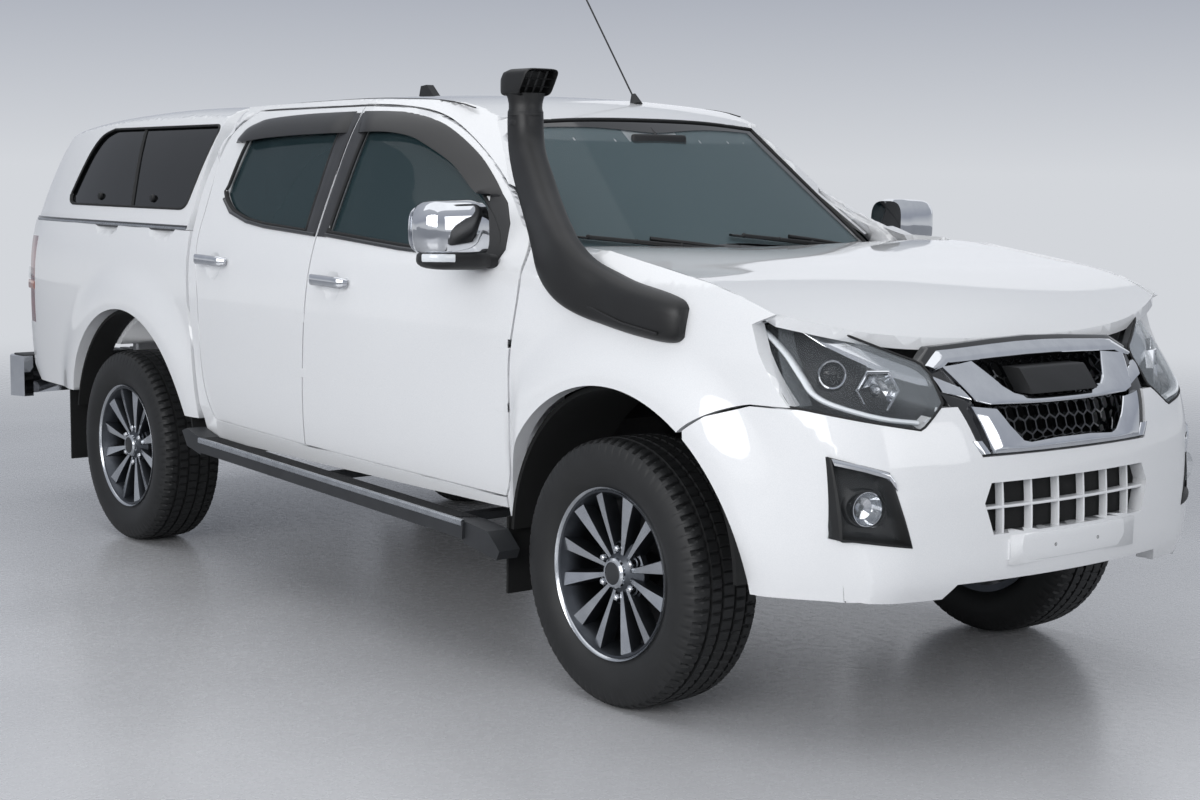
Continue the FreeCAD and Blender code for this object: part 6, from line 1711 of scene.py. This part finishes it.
def upholster(parts):
    # Stuffed parts in seat cloth: name, the node stood for, spans and shape.
    for title, node, spans, more in parts:
        dress(cushion(title, *spans, **more), "cloth", node=node)


def make_seat(name):
    y = SIDES[name] * 372
    upholster((
        ("seat_cushion_" + name, "front_seats", (185, 668, y - 240, y + 240, 792, 908), dict(flutes=3)),
        ("seat_back_" + name, None, (198, 318, y - 232, y + 232, 872, 1416), dict(lean=27.0, flutes=3)),
        ("seat_headrest_" + name, None, (66, 146, y - 124, y + 124, 1432, 1594),
         dict(lean=8.0, crown=8.0, round_edge=34.0))))
    base = block("seat_base_" + name, 230, 620, y - 186, y + 186, 606, 794, 18)
    dress(base, "trim")
    stalks = [sweep("stalk", [(102, y + t, 1392), (98, y + t, 1450)], ring_profile(6, 6, 10))
              for t in (-60, 60)]
    dress(joined("headrest_stalks_" + name, stalks), "steel")


def make_bench():
    headrest = dict(lean=6.0, crown=5.0, round_edge=30.0)
    upholster((
        ("bench_cushion", "rear_bench", (-556, -136, -634, 634, 802, 914), dict(flutes=7)),
        ("bench_back", None, (-560, -446, -634, 634, 884, 1394), dict(lean=28.5, flutes=7)),
        ("bench_headrest_left", None, (-724, -652, 272, 488, 1404, 1514), headrest),
        ("bench_headrest_right", None, (-724, -652, -488, -272, 1404, 1514), headrest)))
    dress(block("bench_base", -540, -210, -590, 590, 790, 806, 6), "trim")


WHEEL_HUB = (806, 375, 1078)
WHEEL_AXIS = (-0.92, 0.0, 0.39)
WHEEL_PAD = ((0.1, 30), (40, 28), (66, 18), (78, 2), (74, -12), (0.1, -16))


def make_controls():
    grip = [(182 + a, b) for a, b in ring_profile(15, 13, 14)]
    rim = turned_piece("steering_rim", grip, WHEEL_HUB, WHEEL_AXIS, 72)
    dress(rim, "dash", "steering_wheel_body", "steering_wheel")
    pad = turned_piece("steering_pad", WHEEL_PAD, WHEEL_HUB, WHEEL_AXIS, 36)
    dress(pad, "dash", "steering_wheel_body")
    axis = Vector(WHEEL_AXIS).normalized()
    down = axis.cross(Vector((0, 1, 0)))
    down = down if down.z < 0 else -down
    centre = Vector(WHEEL_HUB)
    spokes = []
    for way in (Vector((0, 1, 0)), Vector((0, -1, 0)), down):
        line = [centre + way * 62, centre + way * 120 + axis * 4, centre + way * 176]
        spokes.append(sweep("spoke", line, ring_profile(22, 8, 14, 0.8), up=axis))
    dress(joined("steering_spokes", spokes), "satin_silver", "steering_wheel_body")
    stack = [block("screen", 876, 884, -96, 96, 1064, 1150, 6)]
    stack += [block("knob", 868, 884, y - 16, y + 16, 1024, 1052, 7) for y in (-60, 0, 60)]
    dress(joined("centre_stack", stack), "gloss_black")
    vents = [block("vent", 874, 892, y - 58, y + 58, 1092, 1140, 8) for y in (-620, -170, 170, 620)]
    dress(joined("dash_vents", vents), "trim")
    turns = [math.pi * k / 10 for k in range(11)]
    arch = [tuple((wide * math.cos(a), high * math.sin(a)) for wide, high in ((150, 56), (128, 40)))
            for a in turns]

    def on_binnacle(p, out):
        return (892 + out, WHEEL_HUB[1] + p[0], 1150 + p[1])

    dress(ribbon("instrument_hood", arch, on_binnacle, 2, 14, 0.5, 0.2), "dash")
    mirror = block("interior_mirror", 868, 888, -118, 118, 1560, 1622, 12)
    dress(mirror, "trim")
    stem = [(wind_x(0, 1640) - 18, 0, 1640), (880, 0, 1600)]
    dress(sweep("interior_mirror_stem", stem, ring_profile(9, 9, 12)), "trim")
    lining = [[(x, y, roof_z(x, y) - 42 - 20 * (abs(y) / 560.0) ** 3) for y in range(-560, 561, 80)]
              for x in range(-720, 721, 80)]
    dress(thickened(skinned("headliner", lining), 4.0), "headliner")


class PICKUP_OT_cab(bpy.types.Operator):
    """Windscreen border, wipers, seats, steering wheel and dashboard fittings"""

    bl_idname = "pickup.cab"
    bl_label = "Cab"

    def execute(self, context):
        make_screen_trims()
        for name in SIDES:
            make_seat(name)
        make_bench()
        make_controls()
        return {"FINISHED"}


class PICKUP_PT_panel(bpy.types.Panel):
    """Lists the makers of the pickup's pieces"""

    bl_idname = "PICKUP_PT_panel"
    bl_label = "Pickup"
    bl_space_type = "VIEW_3D"
    bl_region_type = "UI"
    bl_category = "Pickup"

    def draw(self, context):
        for key in PickupSettings.__annotations__:
            self.layout.prop(context.scene.pickup, key)
        for maker in MAKERS:
            self.layout.operator(maker.bl_idname)


MAKERS = (PICKUP_OT_stage, PICKUP_OT_panels, PICKUP_OT_wheels, PICKUP_OT_headlamps, PICKUP_OT_nose,
          PICKUP_OT_flanks, PICKUP_OT_fittings, PICKUP_OT_tail, PICKUP_OT_cab)
CLASSES = (PickupSettings,) + MAKERS + (PICKUP_PT_panel,)


def register():
    for item in CLASSES:
        bpy.utils.register_class(item)
    bpy.types.Scene.pickup = bpy.props.PointerProperty(type=PickupSettings)


def unregister():
    del bpy.types.Scene.pickup
    for item in reversed(CLASSES):
        bpy.utils.unregister_class(item)


def main():
    register()
    make_finishes()
    for maker in MAKERS:
        group, action = maker.bl_idname.split(".")
        getattr(getattr(bpy.ops, group), action)()


if __name__ == "__main__":
    main()
